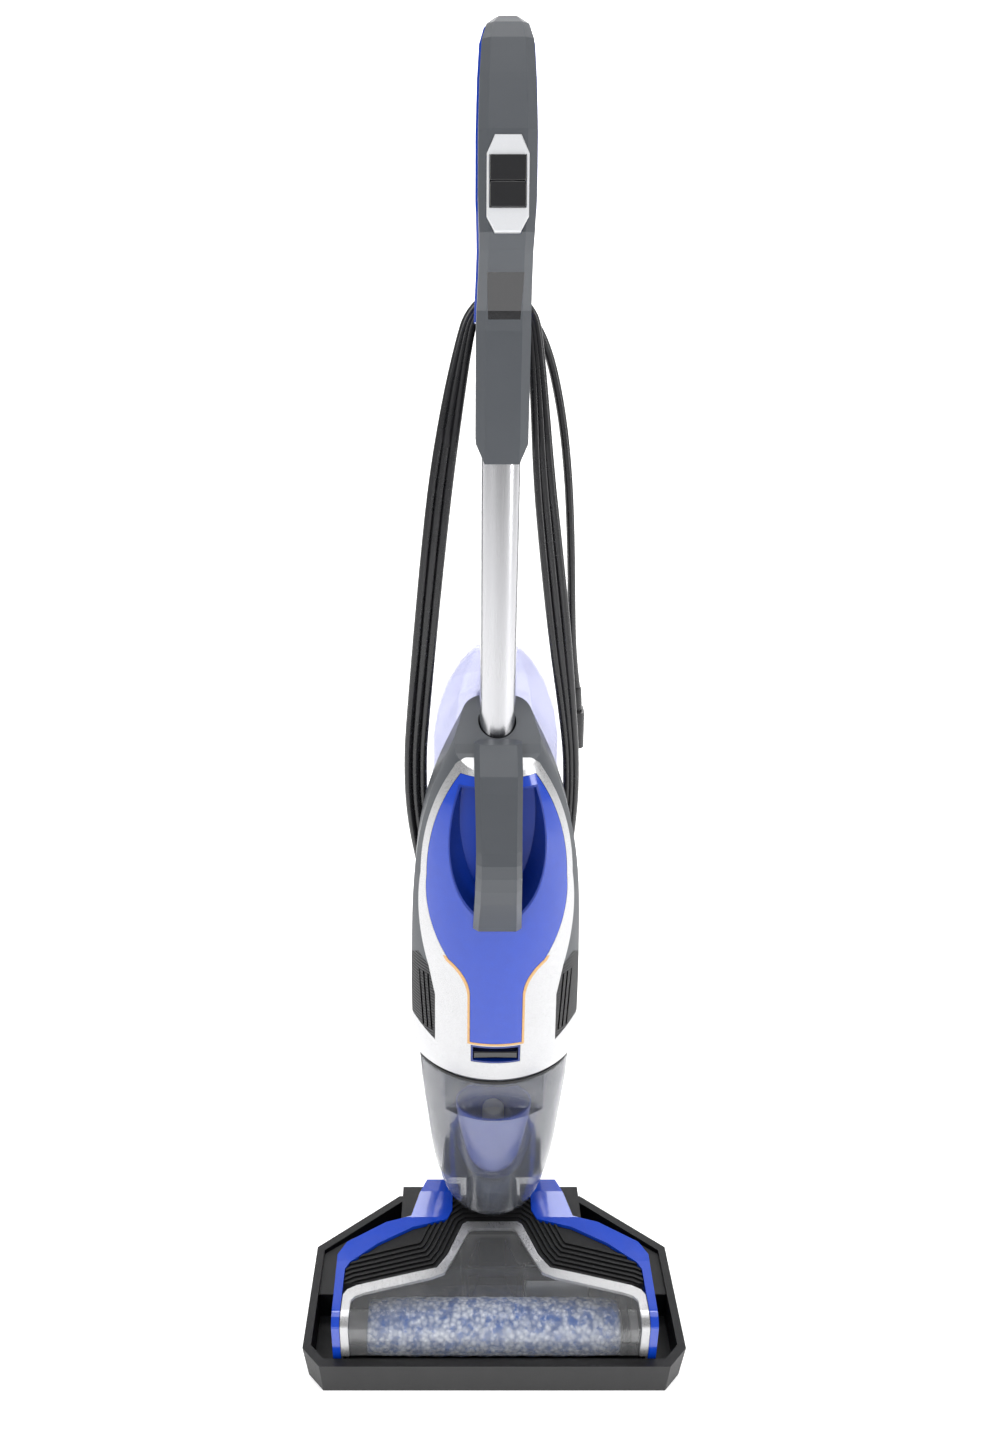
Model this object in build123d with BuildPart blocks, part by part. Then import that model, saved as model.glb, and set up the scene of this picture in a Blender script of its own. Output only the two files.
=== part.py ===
"""Upright wet floor washer standing in its storage tray.

Millimetres. The origin is on the floor under the middle of the machine. +Z is up, the front
faces -Y and +X is on the right when it is seen from the front.
"""
from build123d import *
import os
from math import cos, pi, radians, sin

os.makedirs("parts", exist_ok=True)

# ---------------------------------------------------------------- driving dimensions
# storage tray
tray_width = 377.5
tray_front = 160.0          # from the origin to the front rim
tray_rear = 41.0            # from the origin to the rear rim
tray_height = 40.6
tray_wall = 8.0
tray_floor = 4.5
tray_draft = 5.5            # degrees, walls lean out

# floor head
head_base = 9.0             # underside of the head, on the tray's ribs
foot_width = 315.0
foot_front = 149.5          # from the origin to the window's front face
foot_top = 88.0             # height of the front part of the head
fin_top = 100.8             # height of the blue trims beside the neck
housing_wall = 3.0
trim_width = 8.0
window_wall = 2.4
window_bottom = 41.8

# brush roll, its motor and belt
brush_radius = 27.0
core_radius = 18.0
brush_length = 252.0
brush_y = -112.0
brush_pin_radius = 4.0
motor_radius = 15.0
motor_length = 64.0
motor_y = -68.0
motor_z = 41.0
belt_x = 133.0
belt_width = 7.0
belt_thick = 1.6
motor_pulley_radius = 5.0
belt_groove_radius = 12.5   # on the brush end
brush_end_radius = 15.0

# rear wheels
wheel_radius = 28.0
wheel_width = 16.0
wheel_x = 82.0
wheel_pin_radius = 3.0

# neck
neck_y = 12.0
neck_z = 46.0
neck_radius = 19.0
neck_half = 33.0
neck_pin_radius = 6.0
stem_radius = 19.0
stem_top = 97.0
socket_radius = 27.0
hose_radius = 12.0

# body stack
tank_base = 104.0
tank_height = 199.0
tank_wall = 2.2
body_height = 357.0
tube_open = 212.0           # length of tube seen between the collar and the handle
handle_height = 299.0
tube_radius = 15.9
tube_wall = 1.2
tube_y = 16.0
shell_wall = 2.6
seam = 0.3                  # gap between neighbouring covers
split_y = 7.0               # the dirty tank is in front of this, the spine behind

# motor in the body
suction_motor_radius = 34.0
suction_motor_height = 64.0
fan_radius = 33.0
fan_height = 12.0
fan_shaft_radius = 4.0
motor_axis_y = -8.0

# clean tank
clean_tank_wall = 2.2
clean_tank_front = 47.0

# handle
handle_half = 20.7
handle_wall = 2.5
button_width = 25.0
button_height = 16.4

# cord
cord_diameter = 7.5
hank_thick = 16.0
hank_y = 49.0               # front face of the hank
tail_y = 70.0

run_gap = 0.06              # radial clearance of turning fits
clear = 0.4                 # clearance between parts that move past each other

# heights that follow from the stack
body_base = tank_base + tank_height + 1.0
collar_top = body_base + body_height
stem_base = collar_top + tube_open
top_z = stem_base + handle_height
hook_z = stem_base + 93.0


# ---------------------------------------------------------------- shared outlines
def mirrored(points):
    """Closed outline from the points of its right half, listed from one end on the axis side."""
    left = [(-x, y) for x, y in reversed(points) if x != 0]
    return points + left


def plate(points, plane):
    """Flat face inside a closed outline."""
    with BuildSketch(plane) as sketch:
        with BuildLine():
            Polyline(*points, close=True)
        make_face()
    return sketch.sketch


def d_section(z, half, front, side, rear, corner=14.0, inset=0.0):
    """Round-fronted section of the body at height z."""
    w = half - inset
    f = front + inset
    r = rear - inset
    bend = corner * (1 - cos(radians(45)))
    with BuildSketch(Plane.XY.offset(z)) as sketch:
        with BuildLine():
            ThreePointArc((-w, side), (0, f), (w, side))
            Line((w, side), (w, r - corner))
            ThreePointArc((w, r - corner), (w - bend, r - bend), (w - corner, r))
            Line((w - corner, r), (corner - w, r))
            ThreePointArc((corner - w, r), (bend - w, r - bend), (-w, r - corner))
            Line((-w, r - corner), (-w, side))
        make_face()
    return sketch.sketch


def body_sections(inset=0.0):
    """Sections of the body's outer form, from its base to the collar."""
    table = [
        (0, 76.0, -61.0, -18.0, 44.0),
        (46, 80.3, -63.0, -18.0, 46.0),
        (127, 79.3, -61.0, -16.0, 46.0),
        (196, 76.0, -55.0, -13.0, 46.0),
        (258, 66.0, -47.0, -9.0, 46.0),
        (311, 47.5, -36.0, -3.0, 44.0),
        (336, 36.0, -25.0, 2.0, 42.0),
        (357, 27.0, -9.0, 8.0, 40.0),
    ]
    scale = body_height / 357.0
    return [d_section(body_base + rise * scale, half, front, side, rear, inset=inset)
            for rise, half, front, side, rear in table]


def lower_sections(inset=0.0):
    """Sections of the outer form around the spine, below the body."""
    table = [
        (2, 45.0, -40.0, 0.0, 40.0),
        (11, 50.0, -46.0, -6.0, 43.0),
        (30, 56.5, -51.0, -12.0, 44.0),
        (64, 63.0, -55.0, -15.0, 44.0),
        (110, 68.0, -58.0, -17.0, 44.0),
        (169, 74.0, -60.0, -18.0, 44.0),
        (201, 75.5, -61.0, -18.0, 44.0),
    ]
    scale = tank_height / 201.0
    return [d_section(tank_base + rise * scale, half, front, side, rear, inset=inset)
            for rise, half, front, side, rear in table]


def tank_section(rise, half, front, side, inset=0.0):
    """Section of the dirty tank: round front and flat back."""
    z = tank_base + rise * tank_height / 201.0
    back = split_y - clear - inset
    w = half - inset
    with BuildSketch(Plane.XY.offset(z)) as sketch:
        with BuildLine():
            ThreePointArc((-w, side), (0, front + inset), (w, side))
            Line((w, side), (w, back))
            Line((w, back), (-w, back))
            Line((-w, back), (-w, side))
        make_face()
    return sketch.sketch


def tank_sections(inset=0.0, lift=0.0):
    """Sections of the dirty tank from its rounded bottom to its rim."""
    table = [
        (lift, 30.0, -38.0, 0.0),
        (3 + lift, 37.5, -43.5, -2.0),
        (11, 47.5, -49.0, -6.0),
        (19, 51.5, -51.3, -9.0),
        (30, 54.5, -53.0, -12.0),
        (46, 58.1, -54.9, -13.7),
        (64, 61.0, -56.5, -15.0),
        (86, 63.7, -57.9, -16.2),
        (110, 66.0, -59.0, -17.0),
        (139, 69.0, -60.1, -17.6),
        (169, 72.0, -61.0, -18.0),
        (199, 73.6, -61.5, -18.0),
    ]
    return [tank_section(rise, half, front, side, inset=inset) for rise, half, front, side in table]


def head_profile(drop=0.0):
    """Side view of the floor head: upright front, rounded edge, roof that rises to the fins."""
    front = -foot_front + drop
    top = foot_top - drop
    bend = 14.0
    corner = bend * (1 - cos(radians(45)))
    with BuildSketch(Plane.YZ) as sketch:
        with BuildLine():
            Line((front, 9), (front, top - bend))
            ThreePointArc((front, top - bend), (front + corner, top - corner), (front + bend, top))
            Line((front + bend, top), (-84, top + 1))
            Line((-84, top + 1), (-36, fin_top - 6 - drop))
            Line((-36, fin_top - 6 - drop), (-8, fin_top - drop))
            Line((-8, fin_top - drop), (40, fin_top - drop))
            Line((40, fin_top - drop), (40, 9))
            Line((40, 9), (front, 9))
        make_face()
    return sketch.sketch


foot_half = foot_width / 2
frame_half = foot_half - trim_width         # outer edge of the silver window frame
head_depth = 200.0                          # longer than any cut through the head needs

trim_outer = [(foot_half, -foot_front - 0.5), (foot_half + 1.5, -77), (foot_half - 7, -63.5), (111.4, -41.5),
              (85.5, -34.5), (77.5, -10), (70, 8)]
trim_inner = [(52, 8), (42, -2), (42, -28), (47.5, -38), (83, -47), (118.5, -65),
              (frame_half - 4, -85), (frame_half + seam, -93), (frame_half + seam, -foot_front - 0.5)]
frame_outer = [(frame_half, -foot_front - 1), (frame_half - 0.5, -121), (frame_half - 4, -115.5),
               (frame_half - 13, -111), (79, -96.5), (57.5, -91.5), (46.5, -77), (31.5, -44), (27, -41)]
frame_inner = [(frame_half - 8, -foot_front - 1), (frame_half - 9, -127), (frame_half - 13, -122.5),
               (frame_half - 22, -119), (62, -102.5), (49, -97), (37, -75), (24, -50.5), (20, -48.5)]


def outline_face(half_points):
    """Horizontal face from the right half of an outline that closes across the axis."""
    return plate(mirrored(half_points), Plane.XY)


# the whole head, outside and one window wall inside it
with BuildPart() as head_form:
    extrude(to_extrude=head_profile(), amount=head_depth, both=True)
with BuildPart() as head_core:
    extrude(to_extrude=head_profile(drop=window_wall), amount=head_depth, both=True)
with BuildPart() as head_proud:
    extrude(to_extrude=head_profile(drop=-1.2), amount=head_depth, both=True)

# ---------------------------------------------------------------- storage tray
tray_half = tray_width / 2
tray_corner = 18.7
tray_outline = mirrored([(tray_half - tray_corner, -tray_front), (tray_half, -tray_front + tray_corner),
                         (tray_half, -26.6), (103.5, tray_rear)])
tray_deck = [(tray_half, -80), (foot_half + 5, -80), (foot_half - 3, -61), (115, -37.5), (102, -12),
             (foot_half - 5, -12), (tray_half, -38)]
tray_rim_sketch = plate(tray_outline, Plane.XY.offset(tray_height))

with BuildPart() as storage_tray:
    extrude(to_extrude=tray_rim_sketch, amount=-tray_height, taper=tray_draft)
    with BuildSketch(Plane.XY.offset(tray_floor)):
        with BuildLine():
            Polyline(*tray_outline, close=True)
        make_face()
        offset(amount=-tray_wall, kind=Kind.INTERSECTION)
    extrude(amount=tray_height, mode=Mode.SUBTRACT)
    # decks beside the rear of the head
    for side in (1, -1):
        with BuildSketch(Plane.XY.offset(tray_floor / 2)):
            with BuildLine():
                Polyline(*[(side * x, y) for x, y in tray_deck], close=True)
            make_face()
        extrude(amount=tray_height - tray_floor / 2 - 4)
    extrude(to_extrude=tray_rim_sketch, amount=-tray_height, taper=tray_draft, mode=Mode.INTERSECT)
    # the rear wall is low behind the neck, so that the machine can lean back in the tray
    with Locations((0, tray_rear, tray_height)):
        Box(130, 40, 54, mode=Mode.SUBTRACT)
    # two ribs that the head rests on
    with Locations((-50, -35, tray_floor), (50, -35, tray_floor)):
        Box(8, 60, head_base - tray_floor, align=(Align.CENTER, Align.CENTER, Align.MIN))
    fillet(storage_tray.edges().filter_by(Axis.Z).group_by(Axis.Y)[0], 3)
storage_tray.part.label = "storage_tray"
export_step(storage_tray.part, "parts/storage_tray.step")

# ---------------------------------------------------------------- floor head
floor_z = tray_floor                                # what the wheels and the brush stand on
brush_z = floor_z + brush_radius + 0.3
wheel_z = floor_z + wheel_radius
bay_rear = brush_y + brush_radius + 3               # front face of the wall behind the brush
cheek_x = frame_half - 4                            # inner face of the plates beside the brush
housing_top = foot_top - 12
motor_end = belt_x - 34
housing_outline = [(foot_half - 1, bay_rear), (foot_half, -77), (foot_half - 7.8, -64.5), (111, -42.8),
                   (84.6, -35.8), (76.8, -12), (66, -8), (66, 26)]


def side_trim(side):
    """Blue trim: a strip along the side of the head that widens into the fin beside the neck."""
    with BuildPart() as trim:
        add(head_proud.part)
        with BuildSketch(Plane.XY):
            with BuildLine():
                Polyline(*[(side * x, y) for x, y in trim_outer + trim_inner], close=True)
            make_face()
        extrude(amount=head_depth, mode=Mode.INTERSECT)
        # only the top edge and the wrap at the front are blue
        with BuildSketch(Plane.YZ):
            with BuildLine():
                Polyline((-foot_front + 14, 0), (-foot_front + 14, housing_top - 14),
                         (-40, housing_top + seam),
                         (60, housing_top + seam), (60, 0), close=True)
            make_face()
        extrude(amount=head_depth, both=True, mode=Mode.SUBTRACT)
        with Locations((0, -foot_front, 0)):
            Box(2 * head_depth, 60, 2 * (tray_height - 4), mode=Mode.SUBTRACT)
    return trim


trim_right = side_trim(1)
trim_right.part.label = "trim_right"
export_step(trim_right.part, "parts/trim_right.step")

trim_left = side_trim(-1)
trim_left.part.label = "trim_left"
export_step(trim_left.part, "parts/trim_left.step")

with BuildPart() as base_housing:
    housing_plan = plate(mirrored(housing_outline), Plane.XY.offset(head_base))
    extrude(to_extrude=housing_plan, amount=housing_top - head_base)
    with BuildSketch(Plane.XY.offset(head_base + housing_wall)):
        add(housing_plan)
        offset(amount=-housing_wall, kind=Kind.INTERSECTION)
    extrude(amount=housing_top, mode=Mode.SUBTRACT)
    # plates beside the brush
    for side in (1, -1):
        with Locations((side * (cheek_x + 1.5), bay_rear + 1, head_base)):
            Box(3, foot_front + bay_rear - 4, housing_top - head_base,
                align=(Align.CENTER, Align.MAX, Align.MIN))
    # wheel arches
    for side in (1, -1):
        with Locations((side * wheel_x, 0, head_base)):
            Box(wheel_width + 16, 60, 58, align=(Align.CENTER, Align.CENTER, Align.MIN))
        with BuildSketch(Plane.YZ.offset(side * (wheel_x + 1.5))):
            with Locations((0, wheel_z)):
                Circle(wheel_radius + 2)
            with Locations((0, wheel_z - wheel_radius)):
                Rectangle(2 * wheel_radius + 4, 2 * wheel_radius)
        extrude(amount=(wheel_width + 4) / 2, both=True, mode=Mode.SUBTRACT)
    # ears that carry the neck
    with Locations((neck_half + 4, neck_y, head_base), (-neck_half - 4, neck_y, head_base)):
        Box(7, 28, neck_z + 12 - head_base, align=(Align.CENTER, Align.CENTER, Align.MIN))
    # room for the neck to swing back
    with Locations((0, neck_y + 20, head_base + housing_wall)):
        Box(2 * neck_half + 1, 40 + 2 * (neck_radius + 3), 90, align=(Align.CENTER, Align.CENTER, Align.MIN),
            mode=Mode.SUBTRACT)
    # belt slot and duct opening in the wall behind the brush
    with Locations((belt_x, bay_rear, brush_z + 2)):
        Box(belt_width + 6, 20, 44, mode=Mode.SUBTRACT)
    with Locations((0, bay_rear, head_base + 33)):
        Box(64, 20, 50, mode=Mode.SUBTRACT)
    # the motor stands in a gap of the same wall
    with Locations((motor_end - motor_length / 2, bay_rear, motor_z)):
        Box(motor_length + 4, 20, 2 * motor_radius + 6, mode=Mode.SUBTRACT)
    add(trim_right.part, mode=Mode.SUBTRACT)
    add(trim_left.part, mode=Mode.SUBTRACT)
    # bearings
    with BuildSketch(Plane.YZ):
        with Locations((brush_y, brush_z)):
            Circle(brush_pin_radius + run_gap)
        with Locations((neck_y, neck_z)):
            Circle(neck_pin_radius)
    extrude(amount=foot_half, both=True, mode=Mode.SUBTRACT)
base_housing.part.label = "base_housing"
export_step(base_housing.part, "parts/base_housing.step")

with BuildPart() as axle_pins:
    for side in (1, -1):
        with BuildSketch(Plane.YZ.offset(side * (wheel_x - wheel_width / 2 - 0.5))):
            with Locations((0, wheel_z)):
                Circle(wheel_pin_radius)
        extrude(amount=side * (wheel_width + 3))
        with BuildSketch(Plane.YZ.offset(side * (neck_half - 14))):
            with Locations((neck_y, neck_z)):
                Circle(neck_pin_radius)
        extrude(amount=side * 21.5)
axle_pins.part.label = "axle_pins"
export_step(axle_pins.part, "parts/axle_pins.step")


def rear_wheel(side):
    """Wheel with a dished hub and a rounded tread."""
    with BuildPart() as wheel:
        with BuildSketch(Plane.YZ.offset(side * wheel_x)):
            with Locations((0, wheel_z)):
                Circle(wheel_radius)
                Circle(wheel_pin_radius + run_gap, mode=Mode.SUBTRACT)
        extrude(amount=wheel_width / 2, both=True)
        fillet(wheel.edges().filter_by(GeomType.CIRCLE).sort_by(SortBy.RADIUS)[-2:], 2.5)
        for face_side in (1, -1):
            with BuildSketch(Plane.YZ.offset(side * wheel_x + face_side * wheel_width / 2)):
                with Locations((0, wheel_z)):
                    Circle(wheel_radius - 7)
                    Circle(wheel_pin_radius + 4, mode=Mode.SUBTRACT)
            extrude(amount=-face_side * 3, mode=Mode.SUBTRACT)
    return wheel


wheel_right = rear_wheel(1)
wheel_right.part.label = "wheel_right"
export_step(wheel_right.part, "parts/wheel_right.step")

wheel_left = rear_wheel(-1)
wheel_left.part.label = "wheel_left"
export_step(wheel_left.part, "parts/wheel_left.step")


# ribbed cover between the trims and the window frame
rib_pitch = 5.0
rib_count = 7
with BuildPart() as cover_form:
    with BuildSketch(Plane.XY):
        with BuildLine():
            Polyline(*mirrored([(42 - seam, 0), (42 - seam, -28)]
                               + [(x - seam, y - seam) for x, y in trim_inner[3:7]]
                               + [(frame_half - seam, -93), (frame_half - seam, -108)]), close=True)
        make_face()
        with BuildLine():
            Polyline(*mirrored(frame_outer), close=True)
        make_face(mode=Mode.SUBTRACT)
    extrude(amount=head_depth)
with BuildPart() as base_cover:
    add(cover_form.part)
    add(head_core.part, mode=Mode.INTERSECT)
    with Locations((0, -100, 0)):
        Box(2 * head_depth, 400, 2 * (housing_top + seam), mode=Mode.SUBTRACT)
    with Locations((0, neck_y, 0)):
        Box(2 * neck_half + 8, 2 * (socket_radius + 3), 300, mode=Mode.SUBTRACT)
with BuildPart() as cover_ribs:
    for rib in range(rib_count):
        with BuildSketch(Plane.XY):
            with BuildLine():
                Polyline(*mirrored(frame_outer), close=True)
            make_face()
            offset(amount=rib_pitch * (rib + 1) - 2, kind=Kind.INTERSECTION)
            with BuildLine():
                Polyline(*mirrored(frame_outer), close=True)
            cut = make_face(mode=Mode.PRIVATE)
            offset(cut, amount=rib_pitch * (rib + 1) - 4, kind=Kind.INTERSECTION, mode=Mode.SUBTRACT)
        extrude(amount=head_depth)
    add(head_form.part, mode=Mode.INTERSECT)
    add(cover_form.part, mode=Mode.INTERSECT)
    with Locations((0, -100, 0)):
        Box(2 * head_depth, 400, 2 * (housing_top + 1), mode=Mode.SUBTRACT)
    with Locations((0, neck_y, 0)):
        Box(2 * neck_half + 8, 2 * (socket_radius + 3), 300, mode=Mode.SUBTRACT)
with BuildPart() as base_top:
    add(base_cover.part)
    add(cover_ribs.part)
base_top.part.label = "base_top"
export_step(base_top.part, "parts/base_top.step")

# clear window over the brush and its silver frame
with BuildPart() as brush_window:
    add(head_form.part)
    add(head_core.part, mode=Mode.SUBTRACT)
    extrude(to_extrude=outline_face([(x - seam, y) for x, y in frame_inner]), amount=head_depth,
            mode=Mode.INTERSECT)
    with Locations((0, -foot_front, 0)):
        Box(2 * head_depth, 40, 2 * window_bottom, mode=Mode.SUBTRACT)
brush_window.part.label = "brush_window"
export_step(brush_window.part, "parts/brush_window.step")

with BuildPart() as window_frame:
    add(head_proud.part)
    add(head_core.part, mode=Mode.SUBTRACT)
    extrude(to_extrude=outline_face([(x - seam, y) for x, y in frame_outer]), amount=head_depth,
            mode=Mode.INTERSECT)
    extrude(to_extrude=outline_face(frame_inner), amount=head_depth, mode=Mode.SUBTRACT)
    with Locations((0, -foot_front, 0)):
        Box(2 * head_depth, 40, 2 * window_bottom, mode=Mode.SUBTRACT)
window_frame.part.label = "window_frame"
export_step(window_frame.part, "parts/window_frame.step")

# suction mouth behind the brush, seen through the window
duct_front = bay_rear + housing_wall + 0.5
duct_rear = -46.0
duct_top = foot_top - 9
with BuildPart() as suction_duct:
    with BuildSketch(Plane.XY.offset(head_base + housing_wall)):
        with BuildLine():
            Polyline(*mirrored([(30, duct_front), (17, duct_rear)]), close=True)
        make_face()
    extrude(amount=duct_top - head_base - housing_wall)
    with BuildSketch(Plane.XY.offset(head_base + housing_wall + 10)):
        with BuildLine():
            Polyline(*mirrored([(27, duct_front - 5), (14, duct_rear - 3)]), close=True)
        make_face()
    extrude(amount=90, mode=Mode.SUBTRACT)
suction_duct.part.label = "suction_duct"
export_step(suction_duct.part, "parts/suction_duct.step")

with BuildPart() as brush_nap:
    with BuildSketch(Plane.YZ):
        with Locations((brush_y, brush_z)):
            Circle(brush_radius)
            Circle(core_radius, mode=Mode.SUBTRACT)
    extrude(amount=brush_length / 2, both=True)
brush_nap.part.label = "brush_nap"
export_step(brush_nap.part, "parts/brush_nap.step")

with BuildPart() as brush_core:
    with BuildSketch(Plane.YZ):
        with Locations((brush_y, brush_z)):
            Circle(core_radius)
            Circle(core_radius - 3, mode=Mode.SUBTRACT)
    extrude(amount=brush_length / 2, both=True)
    for side in (1, -1):
        with BuildSketch(Plane.YZ.offset(side * (brush_length / 2 - 12))):
            with Locations((brush_y, brush_z)):
                Circle(core_radius - 3)
        extrude(amount=side * 12)
        with BuildSketch(Plane.YZ.offset(side * brush_length / 2)):
            with Locations((brush_y, brush_z)):
                Circle(brush_end_radius)
        extrude(amount=side * (cheek_x - clear - brush_length / 2))
        with BuildSketch(Plane.YZ.offset(side * (cheek_x - clear))):
            with Locations((brush_y, brush_z)):
                Circle(brush_pin_radius)
        extrude(amount=side * (3 + clear))
    # belt groove
    with BuildSketch(Plane.YZ.offset(belt_x)):
        with Locations((brush_y, brush_z)):
            Circle(brush_end_radius)
            Circle(belt_groove_radius, mode=Mode.SUBTRACT)
    extrude(amount=belt_width / 2 + 0.8, both=True, mode=Mode.SUBTRACT)
brush_core.part.label = "brush_core"
export_step(brush_core.part, "parts/brush_core.step")

with BuildPart() as brush_motor:
    with BuildSketch(Plane.YZ.offset(motor_end)):
        with Locations((motor_y, motor_z)):
            Circle(motor_radius)
    extrude(amount=-motor_length)
    with BuildSketch(Plane.YZ.offset(motor_end)):
        with Locations((motor_y, motor_z)):
            Circle(3 + run_gap)
    extrude(amount=-20, mode=Mode.SUBTRACT)
brush_motor.part.label = "brush_motor"
export_step(brush_motor.part, "parts/brush_motor.step")

with BuildPart() as motor_pulley:
    with BuildSketch(Plane.YZ.offset(belt_x)):
        with Locations((motor_y, motor_z)):
            Circle(motor_pulley_radius)
    extrude(amount=belt_width / 2 + 1, both=True)
    with BuildSketch(Plane.YZ.offset(belt_x)):
        with Locations((motor_y, motor_z)):
            Circle(3)
    extrude(amount=motor_end - belt_x - 12)
motor_pulley.part.label = "motor_pulley"
export_step(motor_pulley.part, "parts/motor_pulley.step")

belt_inner_big = belt_groove_radius + clear
belt_inner_small = motor_pulley_radius + clear
with BuildPart() as drive_belt:
    with BuildSketch(Plane.YZ.offset(belt_x)):
        with Locations((brush_y, brush_z)):
            Circle(belt_inner_big + belt_thick)
        with Locations((motor_y, motor_z)):
            Circle(belt_inner_small + belt_thick)
        make_hull()
    extrude(amount=belt_width / 2, both=True)
    with BuildSketch(Plane.YZ.offset(belt_x)):
        with Locations((brush_y, brush_z)):
            Circle(belt_inner_big)
        with Locations((motor_y, motor_z)):
            Circle(belt_inner_small)
        make_hull()
    extrude(amount=belt_width / 2, both=True, mode=Mode.SUBTRACT)
drive_belt.part.label = "drive_belt"
export_step(drive_belt.part, "parts/drive_belt.step")

with BuildPart() as squeegee:
    with Locations((0, bay_rear - 1.5, floor_z + 0.5)):
        Box(brush_length - 6, 1.6, 16, align=(Align.CENTER, Align.CENTER, Align.MIN))
    with Locations((0, bay_rear - 1.2, floor_z + 8)):
        Box(brush_length - 6, 2.4, 9, align=(Align.CENTER, Align.CENTER, Align.MIN))
squeegee.part.label = "squeegee"
export_step(squeegee.part, "parts/squeegee.step")

# ---------------------------------------------------------------- neck
with BuildPart() as neck_yoke:
    with BuildSketch(Plane.YZ):
        with Locations((neck_y, neck_z)):
            Circle(neck_radius)
    extrude(amount=neck_half, both=True)
    with Locations((0, neck_y, neck_z)):
        Cylinder(stem_radius - clear, stem_top - neck_z, align=(Align.CENTER, Align.CENTER, Align.MIN))
        Cylinder(hose_radius + 0.5, stem_top - neck_z, align=(Align.CENTER, Align.CENTER, Align.MIN),
                 mode=Mode.SUBTRACT)
    with BuildSketch(Plane.YZ.offset(-neck_half)):
        with Locations((neck_y, neck_z)):
            Circle(neck_pin_radius + run_gap)
    extrude(amount=2 * neck_half, mode=Mode.SUBTRACT)
neck_yoke.part.label = "neck_yoke"
export_step(neck_yoke.part, "parts/neck_yoke.step")

# ---------------------------------------------------------------- spine
with BuildPart() as lower_form:
    loft(sections=lower_sections())
with BuildPart() as spine_space:
    loft(sections=lower_sections(inset=3.0))
    with Locations((0, split_y + 3, tank_base + 6)):
        Box(300, 300, 500, align=(Align.CENTER, Align.MIN, Align.MIN), mode=Mode.INTERSECT)
with BuildPart() as spine_shell:
    add(lower_form.part)
    with Locations((0, split_y, tank_base)):
        Box(300, 300, 500, align=(Align.CENTER, Align.MIN, Align.MIN), mode=Mode.INTERSECT)
    add(spine_space.part, mode=Mode.SUBTRACT)
    with Locations((0, split_y, tank_base)):
        Box(1.4 * socket_radius, 2 * (neck_y + 18 - split_y), 28, mode=Mode.SUBTRACT)
spine_shell.part.label = "spine_shell"
export_step(spine_shell.part, "parts/spine_shell.step")

# socket that turns on the neck
socket_base = neck_z + neck_radius + 3
with BuildPart() as swivel_socket:
    with Locations((0, neck_y, socket_base)):
        Cylinder(socket_radius, tank_base - clear - socket_base,
                 align=(Align.CENTER, Align.CENTER, Align.MIN))
    with Locations((0, split_y, socket_base + 8)):
        Box(1.4 * socket_radius, neck_y + 18 - split_y, tank_base + 14 - socket_base - 8,
            align=(Align.CENTER, Align.MIN, Align.MIN))
    with Locations((0, neck_y, socket_base)):
        Cylinder(stem_radius + run_gap, stem_top + clear - socket_base,
                 align=(Align.CENTER, Align.CENTER, Align.MIN),
                 mode=Mode.SUBTRACT)
    with Locations((0, neck_y + 6, stem_top)):
        Cylinder(hose_radius - 2, 40, mode=Mode.SUBTRACT)
swivel_socket.part.label = "swivel_socket"
export_step(swivel_socket.part, "parts/swivel_socket.step")

# ---------------------------------------------------------------- dirty water tank
pocket_half = 48.0
pocket_low = tank_base + 148.0
pocket_high = tank_base + 191.0
pocket_depth_y = -43.0
rim_z = tank_base + tank_height * 199 / 201
with BuildPart() as tank_outer:
    loft(sections=tank_sections(), ruled=True)
with BuildPart() as tank_inner:
    loft(sections=tank_sections(inset=tank_wall, lift=2.4), ruled=True)
with BuildPart() as tank_cavity:
    add(tank_inner.part)
    with Locations((0, pocket_depth_y + tank_wall, (pocket_low + pocket_high) / 2)):
        Box(2 * (pocket_half + tank_wall), 80, pocket_high - pocket_low + 2 * tank_wall,
            align=(Align.CENTER, Align.MAX, Align.CENTER), mode=Mode.SUBTRACT)
with BuildPart() as dirty_tank:
    add(tank_outer.part)
    add(tank_cavity.part, mode=Mode.SUBTRACT)
    with Locations((0, pocket_depth_y, (pocket_low + pocket_high) / 2)):
        Box(2 * pocket_half, 80, pocket_high - pocket_low, align=(Align.CENTER, Align.MAX, Align.CENTER),
            mode=Mode.SUBTRACT)
    with Locations((0, 0, rim_z - 3)):
        Box(300, 300, 20, align=(Align.CENTER, Align.CENTER, Align.MIN), mode=Mode.SUBTRACT)
dirty_tank.part.label = "dirty_tank"
export_step(dirty_tank.part, "parts/dirty_tank.step")

cup_y = -26.0
cup_top = pocket_low - 6


def cup_sections(inset):
    """Oval sections of the inner cup, from its rounded bottom to its open top."""
    sections = []
    for drop, half, deep in ((84, 12, 11), (78, 20, 17), (60, 28, 22), (30, 34, 25), (0, 38, 27)):
        low = inset if drop == 84 else 0
        high = 0.1 if inset and drop == 0 else 0
        with BuildSketch(Plane.XY.offset(cup_top - drop + low + high)) as section:
            with Locations((0, cup_y)):
                Ellipse(half - inset, deep - inset)
        sections.append(section.sketch)
    return sections


with BuildPart() as tank_lid:
    add(tank_inner.part)
    with Locations((0, 0, rim_z - 8)):
        Box(300, 300, 5, align=(Align.CENTER, Align.CENTER, Align.MIN), mode=Mode.INTERSECT)
    with Locations((0, pocket_depth_y + 5, rim_z)):
        Box(300, 100, 40, align=(Align.CENTER, Align.MIN, Align.CENTER), mode=Mode.INTERSECT)
    with Locations((0, cup_y, rim_z - 10)):
        Cylinder(10, 20, mode=Mode.SUBTRACT)
tank_lid.part.label = "tank_lid"
export_step(tank_lid.part, "parts/tank_lid.step")

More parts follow.
